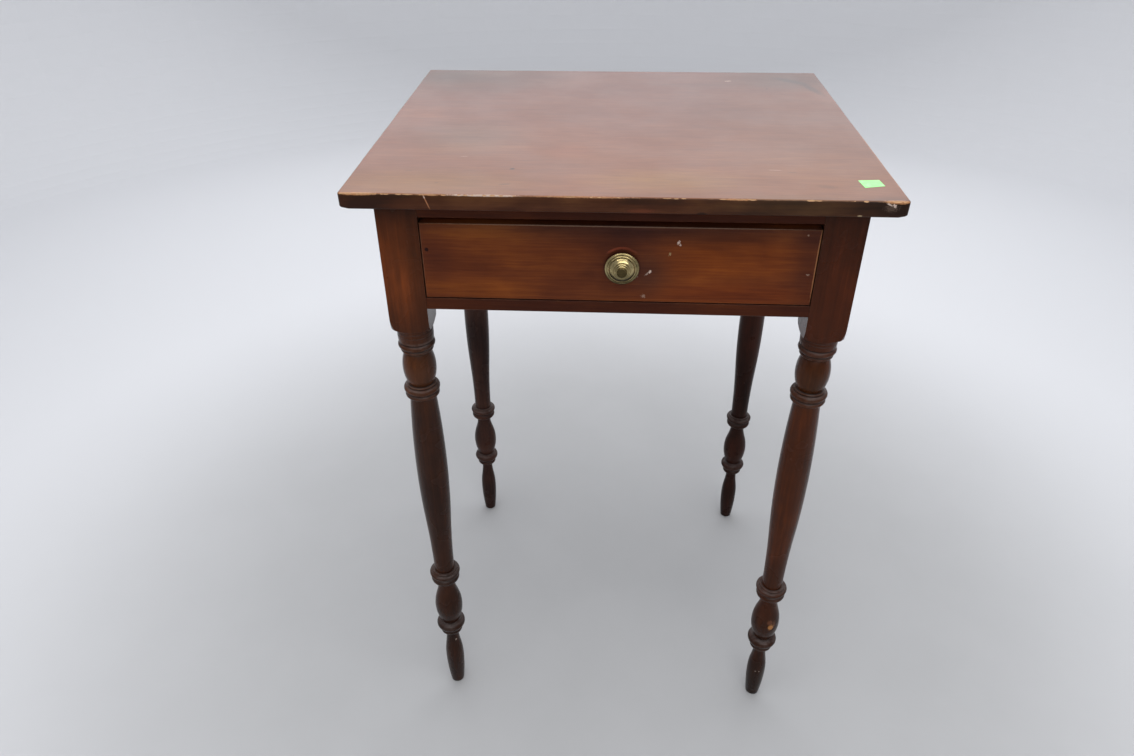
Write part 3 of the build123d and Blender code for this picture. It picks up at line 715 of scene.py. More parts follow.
@dataclass
class TurnedLegs:
    """Four legs: a square post over a turned shaft with a vase, a bulb and a tapered foot."""

    offset_x: float = 203.5
    offset_y: float = 174.5
    post_half: float = 19.5
    post_edge: float = 0.9
    top: float = 709.0
    foot_length: float = 100.0
    collar_foot: float = 196.0
    shaft_foot: float = 215.5
    neck_foot: float = 482.0
    vase_head: float = 539.0
    drum_foot: float = 551.0
    drum_head: float = 569.0
    shoulder_head: float = 604.0
    head_radius: float = 28.6
    drum_grooves: tuple[float, float] = (559.5, 564.5)
    crown_margin: float = 5.0
    around: int = 72

    def outline(self) -> Outline:
        """The leg's half outline from the floor to the head of the post."""
        leg = Outline(0.0)
        leg.line_to(7.3, 0.0)
        leg.arc_to(8.6, 1.6, 0.4, 3)
        leg.bow_to(11.8, 51.0)
        leg.ogee_to(7.7, self.foot_length)
        leg.bead(9.5, 14.2, 12.2, 0.85)
        leg.bead(13.0, 18.1, 13.4, 0.9)
        leg.line_to(11.8, leg.height + 0.6)
        leg.bow_to(17.2, 150.0)
        leg.ogee_to(9.6, self.collar_foot)
        leg.bead(10.4, 17.4, 15.6, 0.8)
        leg.line_to(15.6, leg.height + 0.8)
        leg.bead(6.6, 18.6, 16.3, 0.8)
        leg.line_to(16.2, leg.height + 0.5)
        leg.line_to(15.6, leg.height + 0.1)
        leg.bead(1.6, 15.4, 12.2, 0.9)
        leg.ogee_to(17.6, 382.0)
        leg.bow_to(13.8, self.neck_foot)
        leg.bead(5.8, 18.2, 16.2, 0.85)
        leg.line_to(16.2, leg.height + 0.9)
        leg.bead(7.0, 19.2, 16.3, 0.72)
        leg.bead(2.4, 15.9, 13.3, 0.9)
        leg.arc_to(13.3, self.vase_head, 4.3, 18)
        leg.bead(3.8, 17.0, 15.4, 0.85)
        leg.line_to(15.4, leg.height + 0.8)
        leg.bead(6.6, 19.1, 16.6, 0.72)
        leg.line_to(16.6, leg.height + 0.8)
        leg.line_to(18.2, leg.height + 0.9)
        for height in self.drum_grooves:
            leg.line_to(18.5, height)
            leg.line_to(18.1, height + 0.5)
            leg.line_to(18.5, height + 1.0)
        leg.line_to(18.6, self.drum_head - 1.0)
        leg.line_to(18.9, self.drum_head)
        leg.line_to(24.9, self.drum_head + 2.6)
        leg.arc_to(27.4, 587.0, 0.7, 6)
        leg.line_to(self.head_radius, self.shoulder_head)
        leg.line_to(self.head_radius, self.top)
        return leg

    def stick(self) -> bmesh.types.BMesh:
        """One leg about the Z axis, squared above the shoulder, with softened post edges."""
        mesh = self.outline().turned(self.around)
        half = self.post_half * MM
        for direction in ((1, 0, 0), (-1, 0, 0), (0, 1, 0), (0, -1, 0)):
            normal = Vector(direction)
            cut = bmesh.ops.bisect_plane(mesh, geom=mesh.verts[:] + mesh.edges[:] + mesh.faces[:],
                                         plane_co=normal * half, plane_no=normal, clear_outer=True,
                                         dist=1e-7)
            rim = [part for part in cut["geom_cut"] if isinstance(part, bmesh.types.BMEdge)]
            bmesh.ops.contextual_create(mesh, geom=rim)
        corners = [edge for edge in mesh.edges if self.is_corner(edge, half)]
        round_edges(mesh, corners, self.post_edge, 3)
        return mesh

    @staticmethod
    def is_corner(edge: bmesh.types.BMEdge, half: float) -> bool:
        """Whether an edge runs down a corner of the post."""
        return all(abs(abs(vert.co.x) - half) < 1e-5 and abs(abs(vert.co.y) - half) < 1e-5
                   for vert in edge.verts)

    def strayed(self, height: float, leg: Handwork) -> float:
        """Where a height of the pattern ended up on one leg, both in metres."""
        stations = ((0.0, 0.0), (self.foot_length, leg.ankle_rise), (self.shaft_foot, leg.ankle_rise),
                    (self.neck_foot, leg.neck_rise), (self.drum_foot, leg.neck_rise),
                    (self.drum_head, 0.0), (self.top, 0.0))
        place = height / MM
        for (low, low_rise), (high, high_rise) in zip(stations, stations[1:]):
            if place <= high:
                share = (place - low) / (high - low)
                return height + (low_rise + (high_rise - low_rise) * share) * MM
        return height

    def build(self, front: OldVarnish, back: OldVarnish,
              crew: tuple[Handwork, ...]) -> list[bpy.types.Object]:
        """Makes the four legs and dresses them.

        Args:
            front: the stain and varnish of the front legs.
            back: the stain and varnish of the back legs, which are darker.
            crew: the four legs' own departures from the pattern.

        Returns:
            The legs, each standing for its node.
        """
        pattern = self.stick()
        legs = []
        for number, leg in enumerate(crew):
            mesh = pattern.copy()
            spot = Vector((leg.sign_x * self.offset_x, leg.sign_y * self.offset_y, 0.0)) * MM
            for vert in mesh.verts:
                vert.co.z = self.strayed(vert.co.z, leg)
            bmesh.ops.rotate(mesh, verts=mesh.verts, cent=(0, 0, 0),
                             matrix=Matrix.Rotation(leg.quarter_turns * math.pi / 2, 3, "Z"))
            bmesh.ops.translate(mesh, verts=mesh.verts, vec=spot)
            half = Vector((self.post_half, self.post_half, 0.0)) * MM
            box = (spot - half, spot + half + Vector((0.0, 0.0, self.top * MM)))
            finish = front if leg.sign_y < 0 else back
            crown_limit = (self.drum_foot + self.crown_margin) * MM
            material = finish.material(f"{leg.node}_varnish", Grain.ALONG_Z, 3.0 + number, box, "XY",
                                       turned_below=crown_limit, marks=leg.marks)
            piece = finish_mesh(mesh, f"{leg.node}_turned", material, sharp=32.0)
            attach(piece, "frame")
            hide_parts(leg.node)
            legs.append(piece)
            LOG.info("%s: %d faces", piece.name, len(piece.data.polygons))
        pattern.free()
        return legs


# ---- tabletop -------------------------------------------------------------------------------------


@dataclass
class Tabletop:
    """One board with worn edges, chips along its front arris and a blank sticker near a corner."""

    width: float = 495.0
    depth: float = 432.0
    bottom: float = 709.0
    top: float = 723.85
    corner: float = 3.0
    arris: float = 1.5
    upper_band: float = 0.45
    edge_wear: float = 0.6
    corner_lift: float = 2.0
    chip_seed: int = 7
    chip_inset: float = 0.45
    chip_drop: float = 0.3
    sticker_lift: float = 0.13
    sticker_thickness: float = 0.11
    chip_runs: tuple[tuple[float, float, int], ...] = (
        (-246.0, -200.0, 9), (-196.0, -150.0, 5), (-146.0, -88.0, 7), (-70.0, 30.0, 6), (38.0, 60.0, 3),
        (84.0, 120.0, 4), (150.0, 220.0, 4), (224.0, 244.0, 3))
    sticker_corners: tuple[tuple[float, float], ...] = (
        (213.6, -166.8), (232.6, -165.0), (234.2, -179.9), (215.6, -184.8))

    def build(self, finish: OldVarnish, edge_finish: OldVarnish, chip_finish: PlainWood,
              marks: tuple[Mark, ...]) -> bpy.types.Object:
        """Makes and dresses the board.

        Args:
            finish: the stain and varnish of the upper face.
            edge_finish: the darker stain and varnish of the edges and the underside.
            chip_finish: the bare wood inside the chips.
            marks: the stains, scratches and wear on the board, and a painted highlight along part of its
                front arris.

        Returns:
            The board, which stands for its node.
        """
        mesh = bmesh.new()
        bmesh.ops.create_cube(mesh, size=1.0)
        middle = Vector((0.0, 0.0, (self.top + self.bottom) / 2)) * MM
        size = Vector((self.width, self.depth, self.top - self.bottom)) * MM
        bmesh.ops.scale(mesh, verts=mesh.verts, vec=size)
        bmesh.ops.translate(mesh, verts=mesh.verts, vec=middle)
        upright = [e for e in mesh.edges if abs(e.verts[0].co.z - e.verts[1].co.z) > 5 * MM]
        round_edges(mesh, upright, self.corner, 4)
        rims = [e for e in mesh.edges if abs(e.verts[0].co.z - e.verts[1].co.z) < 0.1 * MM]
        round_edges(mesh, rims, self.arris, 4)
        long_edges = [e for e in mesh.edges if e.calc_length() > 200 * MM]
        bmesh.ops.subdivide_edges(mesh, edges=long_edges, cuts=90, use_grid_fill=True)
        self.wear_edges(mesh)
        low, high = middle - size / 2, middle + size / 2
        varnish = finish.material("tabletop_varnish", Grain.ALONG_X, 1.0, (low, high), marks=marks)
        upper = (low - Vector((0.0, 0.0, 0.02)), high)
        edging = edge_finish.material("tabletop_edge_varnish", Grain.ALONG_X, 2.0, upper, marks=marks)
        for face in mesh.faces:
            face.material_index = 0 if face.calc_center_median().z > (self.top - self.upper_band) * MM else 1
        bare = chip_finish.material("tabletop_bare_wood", Grain.ALONG_X, 5.0,
                                    (low - Vector((1, 1, 1)), high + Vector((1, 1, 1))))
        board = finish_mesh(mesh, "tabletop_board", varnish, edging, sharp=40.0)
        cut_away(board, self.chips(bare))
        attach(board, "frame")
        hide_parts("tabletop")
        LOG.info("%s: %d faces", board.name, len(board.data.polygons))
        return board

    def wear_edges(self, mesh: bmesh.types.BMesh) -> None:
        """Draws the edges in a little, unevenly, and lifts the underside at the corners."""
        half_x, half_y = self.width / 2 * MM, self.depth / 2 * MM
        band, corner_reach, lift_height = 3 * MM, 7 * MM, 8.0
        for vert in mesh.verts:
            wear = noise.noise(vert.co * 22.0) * 0.5 + noise.noise(vert.co * 90.0) * 0.3 + 0.45
            wear = max(0.0, wear) * self.edge_wear * MM
            if half_y - abs(vert.co.y) < band:
                vert.co.y -= math.copysign(wear, vert.co.y)
            if half_x - abs(vert.co.x) < band:
                vert.co.x -= math.copysign(wear, vert.co.x)
            gap = math.hypot(half_x - abs(vert.co.x), half_y - abs(vert.co.y))
            if gap < corner_reach:
                lift = max(0.0, 1.0 - (vert.co.z / MM - self.bottom) / lift_height)
                vert.co.z += (1.0 - gap / corner_reach) * lift * self.corner_lift * MM

    def chips(self, bare: bpy.types.Material) -> bpy.types.Object:
        """The shapes of the chips along the front arris, to be cut out of the board.

        The noise is seeded too, because noise vectors otherwise follow the clock.
        """
        rng = random.Random(self.chip_seed)
        noise.seed_set(self.chip_seed)
        mesh = bmesh.new()
        for start, end, count in self.chip_runs:
            step = (end - start) / count
            for number in range(count):
                length = rng.triangular(1.5, 12.0, 3.5)
                made = bmesh.ops.create_icosphere(mesh, subdivisions=3, radius=1.0)
                verts = made["verts"]
                size = Vector((length / 2, rng.uniform(0.6, 1.15), rng.uniform(0.45, 0.8)))
                bmesh.ops.scale(mesh, verts=verts, vec=size * MM)
                for vert in verts:
                    vert.co += noise.noise_vector(vert.co * 500.0 + Vector((number, start, 0.0))) * 0.22 * MM
                tilt = Matrix.Rotation(rng.uniform(-0.5, 0.5), 3, "X")
                bmesh.ops.rotate(mesh, verts=verts, cent=(0, 0, 0), matrix=tilt)
                place = Vector((start + (number + rng.uniform(0.1, 0.9)) * step,
                                -self.depth / 2 + self.chip_inset, self.top - self.chip_drop))
                bmesh.ops.translate(mesh, verts=verts, vec=place * MM)
        return finish_mesh(mesh, "chip_shapes", bare)

    def sticker(self, finish: StickerPaper) -> bpy.types.Object:
        """A blank paper sticker that lies near the front right corner.

        Args:
            finish: the paper.

        Returns:
            The sticker, which rides on the frame.
        """
        mesh = bmesh.new()
        level = self.top + self.sticker_lift
        corners = [mesh.verts.new(Vector((x, y, level)) * MM) for x, y in self.sticker_corners]
        bmesh.ops.contextual_create(mesh, geom=corners)
        bmesh.ops.subdivide_edges(mesh, edges=mesh.edges, cuts=8, use_grid_fill=True)
        bmesh.ops.recalc_face_normals(mesh, faces=mesh.faces)
        bmesh.ops.solidify(mesh, geom=mesh.faces[:], thickness=self.sticker_thickness * MM)
        piece = finish_mesh(mesh, "lot_sticker", finish.material("lot_sticker_paper"))
        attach(piece, "frame")
        return piece


# ---- knob -----------------------------------------------------------------------------------------


@dataclass
class Knob:
    """The turned brass knob: a collar, a rolled rim, stepped rings and a button."""

    centre_x: float = 4.5
    centre_z: float = 647.0
    face: float = -193.5
    around: int = 96

    def build(self, finish: AgedBrass, marks: tuple[Mark, ...]) -> bpy.types.Object:
        """Makes the knob on the drawer's face and dresses it.

        Args:
            finish: the brass.
            marks: a darker button end, a painted highlight on the upper half and painted shade on the lower
                half.

        Returns:
            The knob, which stands for its node.
        """
        knob = Outline(0.0)
        knob.line_to(7.0, 0.0)
        knob.line_to(7.0, 2.4)
        knob.arc_to(8.4, 3.2, -0.3, 4)
        knob.line_to(14.4, 3.2)
        knob.arc_to(14.8, 5.4, 1.6, 9)
        knob.line_to(14.3, 5.5)
        knob.line_to(14.1, 5.1)
        knob.line_to(13.8, 5.1)
        knob.arc_to(12.6, 6.7, 0.6, 6)
        knob.line_to(12.3, 6.6)
        knob.arc_to(8.2, 9.9, 0.55, 8)
        knob.line_to(7.9, 9.8)
        knob.arc_to(6.7, 11.3, 0.5, 6)
        knob.line_to(6.4, 11.2)
        knob.arc_to(5.2, 12.4, 0.4, 6)
        knob.line_to(4.9, 12.3)
        knob.line_to(4.8, 13.5)
        knob.arc_to(4.3, 13.95, 0.12, 3)
        knob.arc_to(0.6, 14.0, 0.02, 3)
        mesh = knob.turned(self.around)
        bmesh.ops.rotate(mesh, verts=mesh.verts, cent=(0, 0, 0), matrix=Matrix.Rotation(math.pi / 2, 3, "X"))
        place = Vector((self.centre_x, self.face, self.centre_z)) * MM
        bmesh.ops.translate(mesh, verts=mesh.verts, vec=place)
        piece = finish_mesh(mesh, "knob_turned", finish.material("knob_aged_brass", marks), sharp=50.0)
        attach(piece, "drawer")
        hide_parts("knob")
        LOG.info("%s: %d faces", piece.name, len(piece.data.polygons))
        return piece


# ---- boards that keep their shape -------------------------------------------------------------------


@dataclass
class Joinery:
    """The frame's and the drawer's boards, which only need their finish."""

    frame_boards: tuple[tuple[str, Grain], ...] = (
        ("upper_rail", Grain.ALONG_X), ("lower_rail", Grain.ALONG_X), ("apron_back", Grain.ALONG_X),
        ("apron_left", Grain.ALONG_Y), ("apron_right", Grain.ALONG_Y), ("apron_pegs", Grain.ALONG_X))
    inner_boards: tuple[tuple[str, Grain], ...] = (
        ("runner_left", Grain.ALONG_Y), ("runner_right", Grain.ALONG_Y), ("guide_left", Grain.ALONG_Y),
        ("guide_right", Grain.ALONG_Y), ("kicker_left", Grain.ALONG_Y), ("kicker_right", Grain.ALONG_Y),
        ("drawer_stops", Grain.ALONG_X), ("glue_blocks", Grain.ALONG_Y),
        ("drawer_side_left", Grain.ALONG_Y), ("drawer_side_right", Grain.ALONG_Y),
        ("drawer_back", Grain.ALONG_X), ("drawer_bottom", Grain.ALONG_X))
    steel_pieces: tuple[str, ...] = ("knob_stud", "knob_nut")

    @staticmethod
    def dress(node: str, material: bpy.types.Material) -> None:
        """Gives a node its only material."""
        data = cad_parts[node].data
        data.materials.clear()
        data.materials.append(material)
        LOG.info("%s: %s", node, material.name)

    def dress_all(self, varnish: OldVarnish, front: OldVarnish, inner: PlainWood, steel: DullSteel,
                  front_marks: tuple[Mark, ...]) -> None:
        """Dresses every board and fixing.

        Args:
            varnish: the finish of the aprons and rails.
            front: the finish of the drawer front.
            inner: the bare wood inside.
            steel: the knob's stud and nut.
            front_marks: the tints and scars on the drawer front, and painted shade along its top.
        """
        for seed, (node, grain) in enumerate(self.frame_boards):
            self.dress(node, varnish.material(f"{node}_varnish", grain, 11.0 + seed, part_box(node)))
        self.dress("drawer_front", front.material("drawer_front_varnish", Grain.ALONG_X, 21.0,
                                                  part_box("drawer_front"), marks=front_marks))
        for seed, (node, grain) in enumerate(self.inner_boards):
            self.dress(node, inner.material(f"{node}_wood", grain, 31.0 + seed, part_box(node)))
        for node in self.steel_pieces:
            self.dress(node, steel.material(f"{node}_steel"))


# ---- studio ---------------------------------------------------------------------------------------


@dataclass(frozen=True)
class SoftBox:
    """A rectangular lamp that is never seen itself, with sizes in metres and power in watts."""

    name: str
    place: Triple
    target: Triple
    width: float
    height: float
    power: float
    colour: Colour = (1.0, 1.0, 1.0)

    def build(self) -> bpy.types.Object:
        """Hangs the lamp and points it."""
        data = bpy.data.lights.new(self.name, "AREA")
        data.shape, data.size, data.size_y = "RECTANGLE", self.width, self.height
        data.energy, data.color = self.power, self.colour
        lamp = bpy.data.objects.new(self.name, data)
        lamp.location = self.place
        lamp.rotation_euler = (Vector(self.target) - Vector(self.place)).to_track_quat("-Z", "Y").to_euler()
        lamp.visible_camera = False
        bpy.context.scene.collection.objects.link(lamp)
        return lamp


@dataclass
class Studio:
    """A pale floor that rises into a pale wall, soft lamps, and the camera."""

    floor_radius: float = 2.3
    cove: float = 0.6
    wall_height: float = 2.6
    sky: Colour = (0.80, 0.84, 0.92)
    sky_strength: float = 0.4
    lens_pixels: float = 830.88
    frame_pixels: float = 1134.0
    sensor: float = 36.0
    camera_place: Triple = (-6.99, -897.01, 993.996)
    camera_yaw: float = -0.0574
    camera_pitch: float = -0.5920
    camera_roll: float = -0.0058

    def build(self, paint: StudioPaint, lamps: tuple[SoftBox, ...]) -> None:
        """Builds the floor and wall, hangs the lamps and sets the camera.

        Args:
            paint: the floor's and the wall's paint.
            lamps: the soft lamps.
        """
        mesh = bmesh.new()
        centre = mesh.verts.new((0.0, 0.0, 0.0))
        edge = bmesh.ops.extrude_vert_indiv(mesh, verts=[centre])["verts"][0]
        edge.co = (self.floor_radius, 0.0, 0.0)
        bend = bmesh.ops.spin(mesh, geom=[edge], cent=(self.floor_radius, 0.0, self.cove), axis=(0, -1, 0),
                              angle=math.pi / 2, steps=16, use_merge=False, use_duplicate=False)
        foot = next(part for part in bend["geom_last"] if isinstance(part, bmesh.types.BMVert))
        wall = bmesh.ops.extrude_vert_indiv(mesh, verts=[foot])["verts"][0]
        wall.co = (self.floor_radius + self.cove, 0.0, self.wall_height)
        spin_round(mesh, 96, 1e-5)
        backdrop = finish_mesh(mesh, "studio_floor", paint.material("studio_paint"), sharp=60.0)
        world = bpy.data.worlds.new("studio_sky")
        world.use_nodes = True
        background = world.node_tree.nodes["Background"]
        background.inputs["Color"].default_value = (*self.sky, 1.0)
        background.inputs["Strength"].default_value = self.sky_strength
        bpy.context.scene.world = world
        for lamp in lamps:
            lamp.build()
            LOG.info("lamp %s: %.1f W", lamp.name, lamp.power)
        bpy.context.scene.view_settings.view_transform = "Standard"
        self.set_camera()

    def set_camera(self) -> None:
        """Places the camera by its yaw, pitch and roll."""
        yaw, pitch, roll = self.camera_yaw, self.camera_pitch, self.camera_roll
        ahead = Vector((math.sin(yaw) * math.cos(pitch), math.cos(yaw) * math.cos(pitch), math.sin(pitch)))
        level = Vector((math.cos(yaw), -math.sin(yaw), 0.0))
        upward = level.cross(ahead)
        right = level * math.cos(roll) + upward * math.sin(roll)
        above = upward * math.cos(roll) - level * math.sin(roll)
        data = bpy.data.cameras.new("camera")
        data.sensor_width = self.sensor
        data.lens = self.sensor * self.lens_pixels / self.frame_pixels
        data.clip_start, data.clip_end = 0.02, 50.0
        camera = bpy.data.objects.new("camera", data)
        turn = Matrix((right, above, -ahead)).transposed()
        camera.matrix_world = Matrix.Translation(Vector(self.camera_place) * MM) @ turn.to_4x4()
        bpy.context.scene.collection.objects.link(camera)
        bpy.context.scene.camera = camera


# ---- the table's own finishes and scars -------------------------------------------------------------


def tint(centre: Triple, half: Triple, factor: Colour, upright: bool = True) -> Mark:
    """A wide soft area where the colour is deeper or paler by a factor for each colour; most are stain, some
    are painted shade or painted sheen.
    """
    return Mark(centre, half, factor, 0.0, upright, 1.0, 0.15, "MULTIPLY", 0.9)


@dataclass(frozen=True)
class Face:
    """A flat face that carries marks.

    Its level is where it lies on the axis that it looks along, and its reach is how far a mark goes in
    and out of it. A place on it has an x, and a z on an upright face or a y on one that looks up. All
    are in millimetres.
    """

    level: float
    upright: bool
    reach: float

    def spot(self, x: float, other: float, through: float) -> Triple:
        """Three numbers in the order of the axes."""
        return (x, through, other) if self.upright else (x, other, through)

    def tint(self, x: float, other: float, half_x: float, half_other: float, factor: Colour,
             reach: float = 9.0) -> Mark:
        """A tint on the face."""
        half = self.spot(half_x, half_other, reach)
        return tint(self.spot(x, other, self.level), half, factor, self.upright)

    def mark(self, x: float, other: float, half_x: float, half_other: float, tone: Colour,
             turn: float = 0.0, strength: float = 1.0, ragged: float = 0.5, soft: float = 0.2) -> Mark:
        """A speck, stain or scratch on the face."""
        half = self.spot(half_x, half_other, self.reach)
        return Mark(self.spot(x, other, self.level), half, tone, turn, self.upright, strength, ragged,
                    soft=soft)


TOP_FACE = Face(724.0, False, 5.0)
TOP_EDGE = Face(-216.0, True, 3.0)
DRAWER_FACE = Face(-193.5, True, 3.0)
DRAWER_RIM = Face(-193.5, True, 2.0)


PALE_TONE = (0.66, 0.52, 0.44)
WORN_TONE = (0.30, 0.20, 0.15)
DARK_TONE = (0.010, 0.006, 0.005)
RED_TONE = (0.20, 0.045, 0.022)
WEAR_TONE = (0.46, 0.22, 0.10)

TOP_FINISH = OldVarnish(deep=(0.110, 0.030, 0.013), body=(0.160, 0.046, 0.018), glow=(0.215, 0.068, 0.024),
                        bare=(0.46, 0.24, 0.12), streak=0.10, fine=0.3, lined=0.45, patch=0.3, roughness=0.42,
                        specular=0.36, worn_edge=0.6, edge_width=1.5, rubbed=0.02, ripple=0.00003,
                        shortness=4.0, mottle=1.1)
EDGE_FINISH = OldVarnish(deep=(0.028, 0.010, 0.006), body=(0.054, 0.017, 0.008), glow=(0.085, 0.030, 0.013),
                         bare=(0.46, 0.24, 0.12), streak=0.5, fine=0.5, patch=0.9, roughness=0.36,
                         specular=0.13, worn_edge=0.6, edge_width=1.3, shortness=2.5, mottle=3.0)
CHIP_FINISH = PlainWood(pale=(0.60, 0.37, 0.20), dark=(0.36, 0.19, 0.09), dirt_and_shade=(0.20, 0.10, 0.05))
FRONT_FINISH = OldVarnish(deep=(0.080, 0.018, 0.006), body=(0.126, 0.030, 0.008), glow=(0.185, 0.048, 0.010),
                          streak=0.28, fine=0.45, lined=0.6, patch=0.7, roughness=0.36, specular=0.12,
                          worn_edge=0.2, shortness=2.2, mottle=2.2)
FRAME_FINISH = OldVarnish(deep=(0.028, 0.008, 0.0045), body=(0.045, 0.0115, 0.0055),
                          glow=(0.076, 0.0195, 0.0065), streak=0.6, patch=0.35, roughness=0.34,
                          specular=0.08, worn_edge=0.12, shortness=2.0, mottle=1.8)
LEG_FINISH = OldVarnish(deep=(0.013, 0.0045, 0.002), body=(0.024, 0.0075, 0.003),
                        glow=(0.046, 0.0135, 0.0045), streak=0.4, patch=0.5, roughness=0.26,
                        specular=0.15, worn_edge=0.08, dust_and_sheen=0.26, shortness=1.6, mottle=2.2)
BACK_LEG_FINISH = OldVarnish(deep=(0.012, 0.006, 0.005), body=(0.024, 0.011, 0.008),
                             glow=(0.042, 0.016, 0.010), streak=0.6, patch=0.6, roughness=0.28,
                             specular=0.09, worn_edge=0.08, dust_and_sheen=0.22, shortness=1.6, mottle=2.2)

TOP_MARKS = (
    TOP_FACE.tint(0.0, 210.0, 330.0, 200.0, (0.66, 0.56, 0.64)),
    TOP_FACE.tint(0.0, -216.0, 330.0, 120.0, (1.1, 1.2, 1.05)),
    TOP_FACE.tint(-190.0, 190.0, 90.0, 60.0, (0.62, 0.75, 0.85)),
    TOP_FACE.tint(-175.0, -188.0, 70.0, 26.0, (1.14, 1.38, 0.75), 4.0),
    TOP_FACE.tint(42.0, -176.0, 52.0, 24.0, (1.1, 1.32, 0.75), 4.0),
    TOP_FACE.tint(205.0, 185.0, 60.0, 42.0, (0.6, 0.66, 0.7)),
    TOP_FACE.tint(-154.0, -57.0, 46.0, 42.0, (0.82, 1.0, 1.12)),
    TOP_FACE.tint(205.0, -30.0, 110.0, 220.0, (0.94, 1.06, 1.12)),
    TOP_FACE.tint(-190.0, -170.0, 120.0, 70.0, (0.92, 0.9, 0.88)),
    TOP_FACE.tint(-50.0, -98.0, 15.0, 17.0, (1.12, 1.14, 1.3)),
    TOP_FACE.mark(-99.9, -149.5, 2.3, 1.4, DARK_TONE, 20.0, ragged=0.3),
    TOP_FACE.mark(-102.6, -188.8, 5.0, 1.4, DARK_TONE, 12.0, 0.3, 0.6),
    TOP_FACE.mark(-195.7, -158.5, 4.0, 0.9, DARK_TONE, 5.0, 0.25, 0.6),
    TOP_FACE.mark(-164.2, -187.9, 1.5, 1.0, DARK_TONE, strength=0.3, ragged=0.6),
    TOP_FACE.mark(-150.2, -116.8, 4.0, 0.9, PALE_TONE, 6.0, 0.14, 0.9),
    TOP_FACE.mark(143.6, -143.2, 6.0, 0.8, PALE_TONE, -4.0, 0.14, 0.9),
    TOP_FACE.mark(158.5, -148.5, 5.0, 0.8, DARK_TONE, -4.0, 0.3, 0.7),
    TOP_FACE.mark(183.6, -183.7, 8.0, 3.6, DARK_TONE, -10.0, 0.24, 1.4, 0.7),
    TOP_FACE.mark(133.5, 171.5, 4.5, 1.2, PALE_TONE, 12.0, 0.4, 0.9),
    TOP_FACE.mark(210.0, 174.0, 22.0, 6.0, DARK_TONE, -40.0, 0.5, 0.9, 0.6),
    TOP_FACE.mark(230.0, 138.0, 5.0, 24.0, DARK_TONE, 17.0, 0.5, 0.9, 0.6),
    TOP_FACE.mark(176.4, 137.8, 1.4, 1.4, DARK_TONE, strength=0.7),
    TOP_FACE.mark(-218.0, 190.0, 34.0, 26.0, DARK_TONE, 30.0, 0.26, 0.8, 0.7),
    Mark((0.0, 215.2, 723.6), (246.0, 1.6, 1.6), DARK_TONE, strength=0.5, ragged=0.8, soft=0.5),
    Mark((-230.0, -215.5, 723.6), (18.0, 1.9, 1.5), WEAR_TONE, strength=0.85, ragged=0.8),
    # Wear and painted highlight: a pale stretch of the front arris, partly bare wood and partly the shine
    # along the edge.
    Mark((-118.0, -215.7, 723.6), (31.0, 1.3, 1.1), PALE_TONE, strength=0.6, ragged=0.8),
    Mark((-166.0, -215.7, 723.6), (9.0, 1.3, 1.1), WEAR_TONE, strength=0.5, ragged=1.2),
    Mark((-30.0, -215.7, 723.6), (46.0, 1.2, 1.0), WEAR_TONE, strength=0.5, ragged=1.2),
    Mark((102.0, -215.7, 723.6), (14.0, 1.3, 1.1), WEAR_TONE, strength=0.7, ragged=0.9),
    Mark((236.0, -215.3, 723.4), (11.0, 2.2, 1.8), WEAR_TONE, strength=0.8, ragged=0.9),
    Mark((247.0, -110.0, 723.7), (1.3, 100.0, 1.2), WEAR_TONE, 0.0, False, 0.6, 1.2),
    TOP_EDGE.mark(-168.4, 716.4, 0.5, 6.4, (0.40, 0.17, 0.08), -21.0, 0.8, 0.3),
    TOP_EDGE.mark(-170.2, 721.3, 0.6, 1.4, PALE_TONE, -21.0, 0.5, 0.6),
    TOP_EDGE.mark(229.4, 721.0, 2.6, 0.7, PALE_TONE, 24.0, 0.8, 1.1),
    TOP_EDGE.mark(233.9, 719.8, 1.9, 1.1, PALE_TONE, 50.0, 0.85, 1.1),
    TOP_EDGE.mark(231.8, 718.0, 5.0, 3.0, WORN_TONE, strength=0.22, ragged=1.6, soft=0.6),
    TOP_EDGE.mark(206.2, 710.4, 2.1, 0.6, (0.45, 0.34, 0.20), strength=0.75, ragged=0.6),
    TOP_EDGE.mark(19.7, 711.1, 12.0, 2.2, RED_TONE, strength=0.25, ragged=1.1, soft=0.5),
    TOP_EDGE.mark(71.3, 709.8, 4.0, 1.6, DARK_TONE, strength=0.8, ragged=0.8, soft=0.5),
    TOP_EDGE.tint(236.0, 714.0, 24.0, 12.0, (0.5, 0.6, 0.7)),
    TOP_EDGE.tint(150.0, 714.0, 60.0, 12.0, (0.9, 1.2, 1.2)),
)
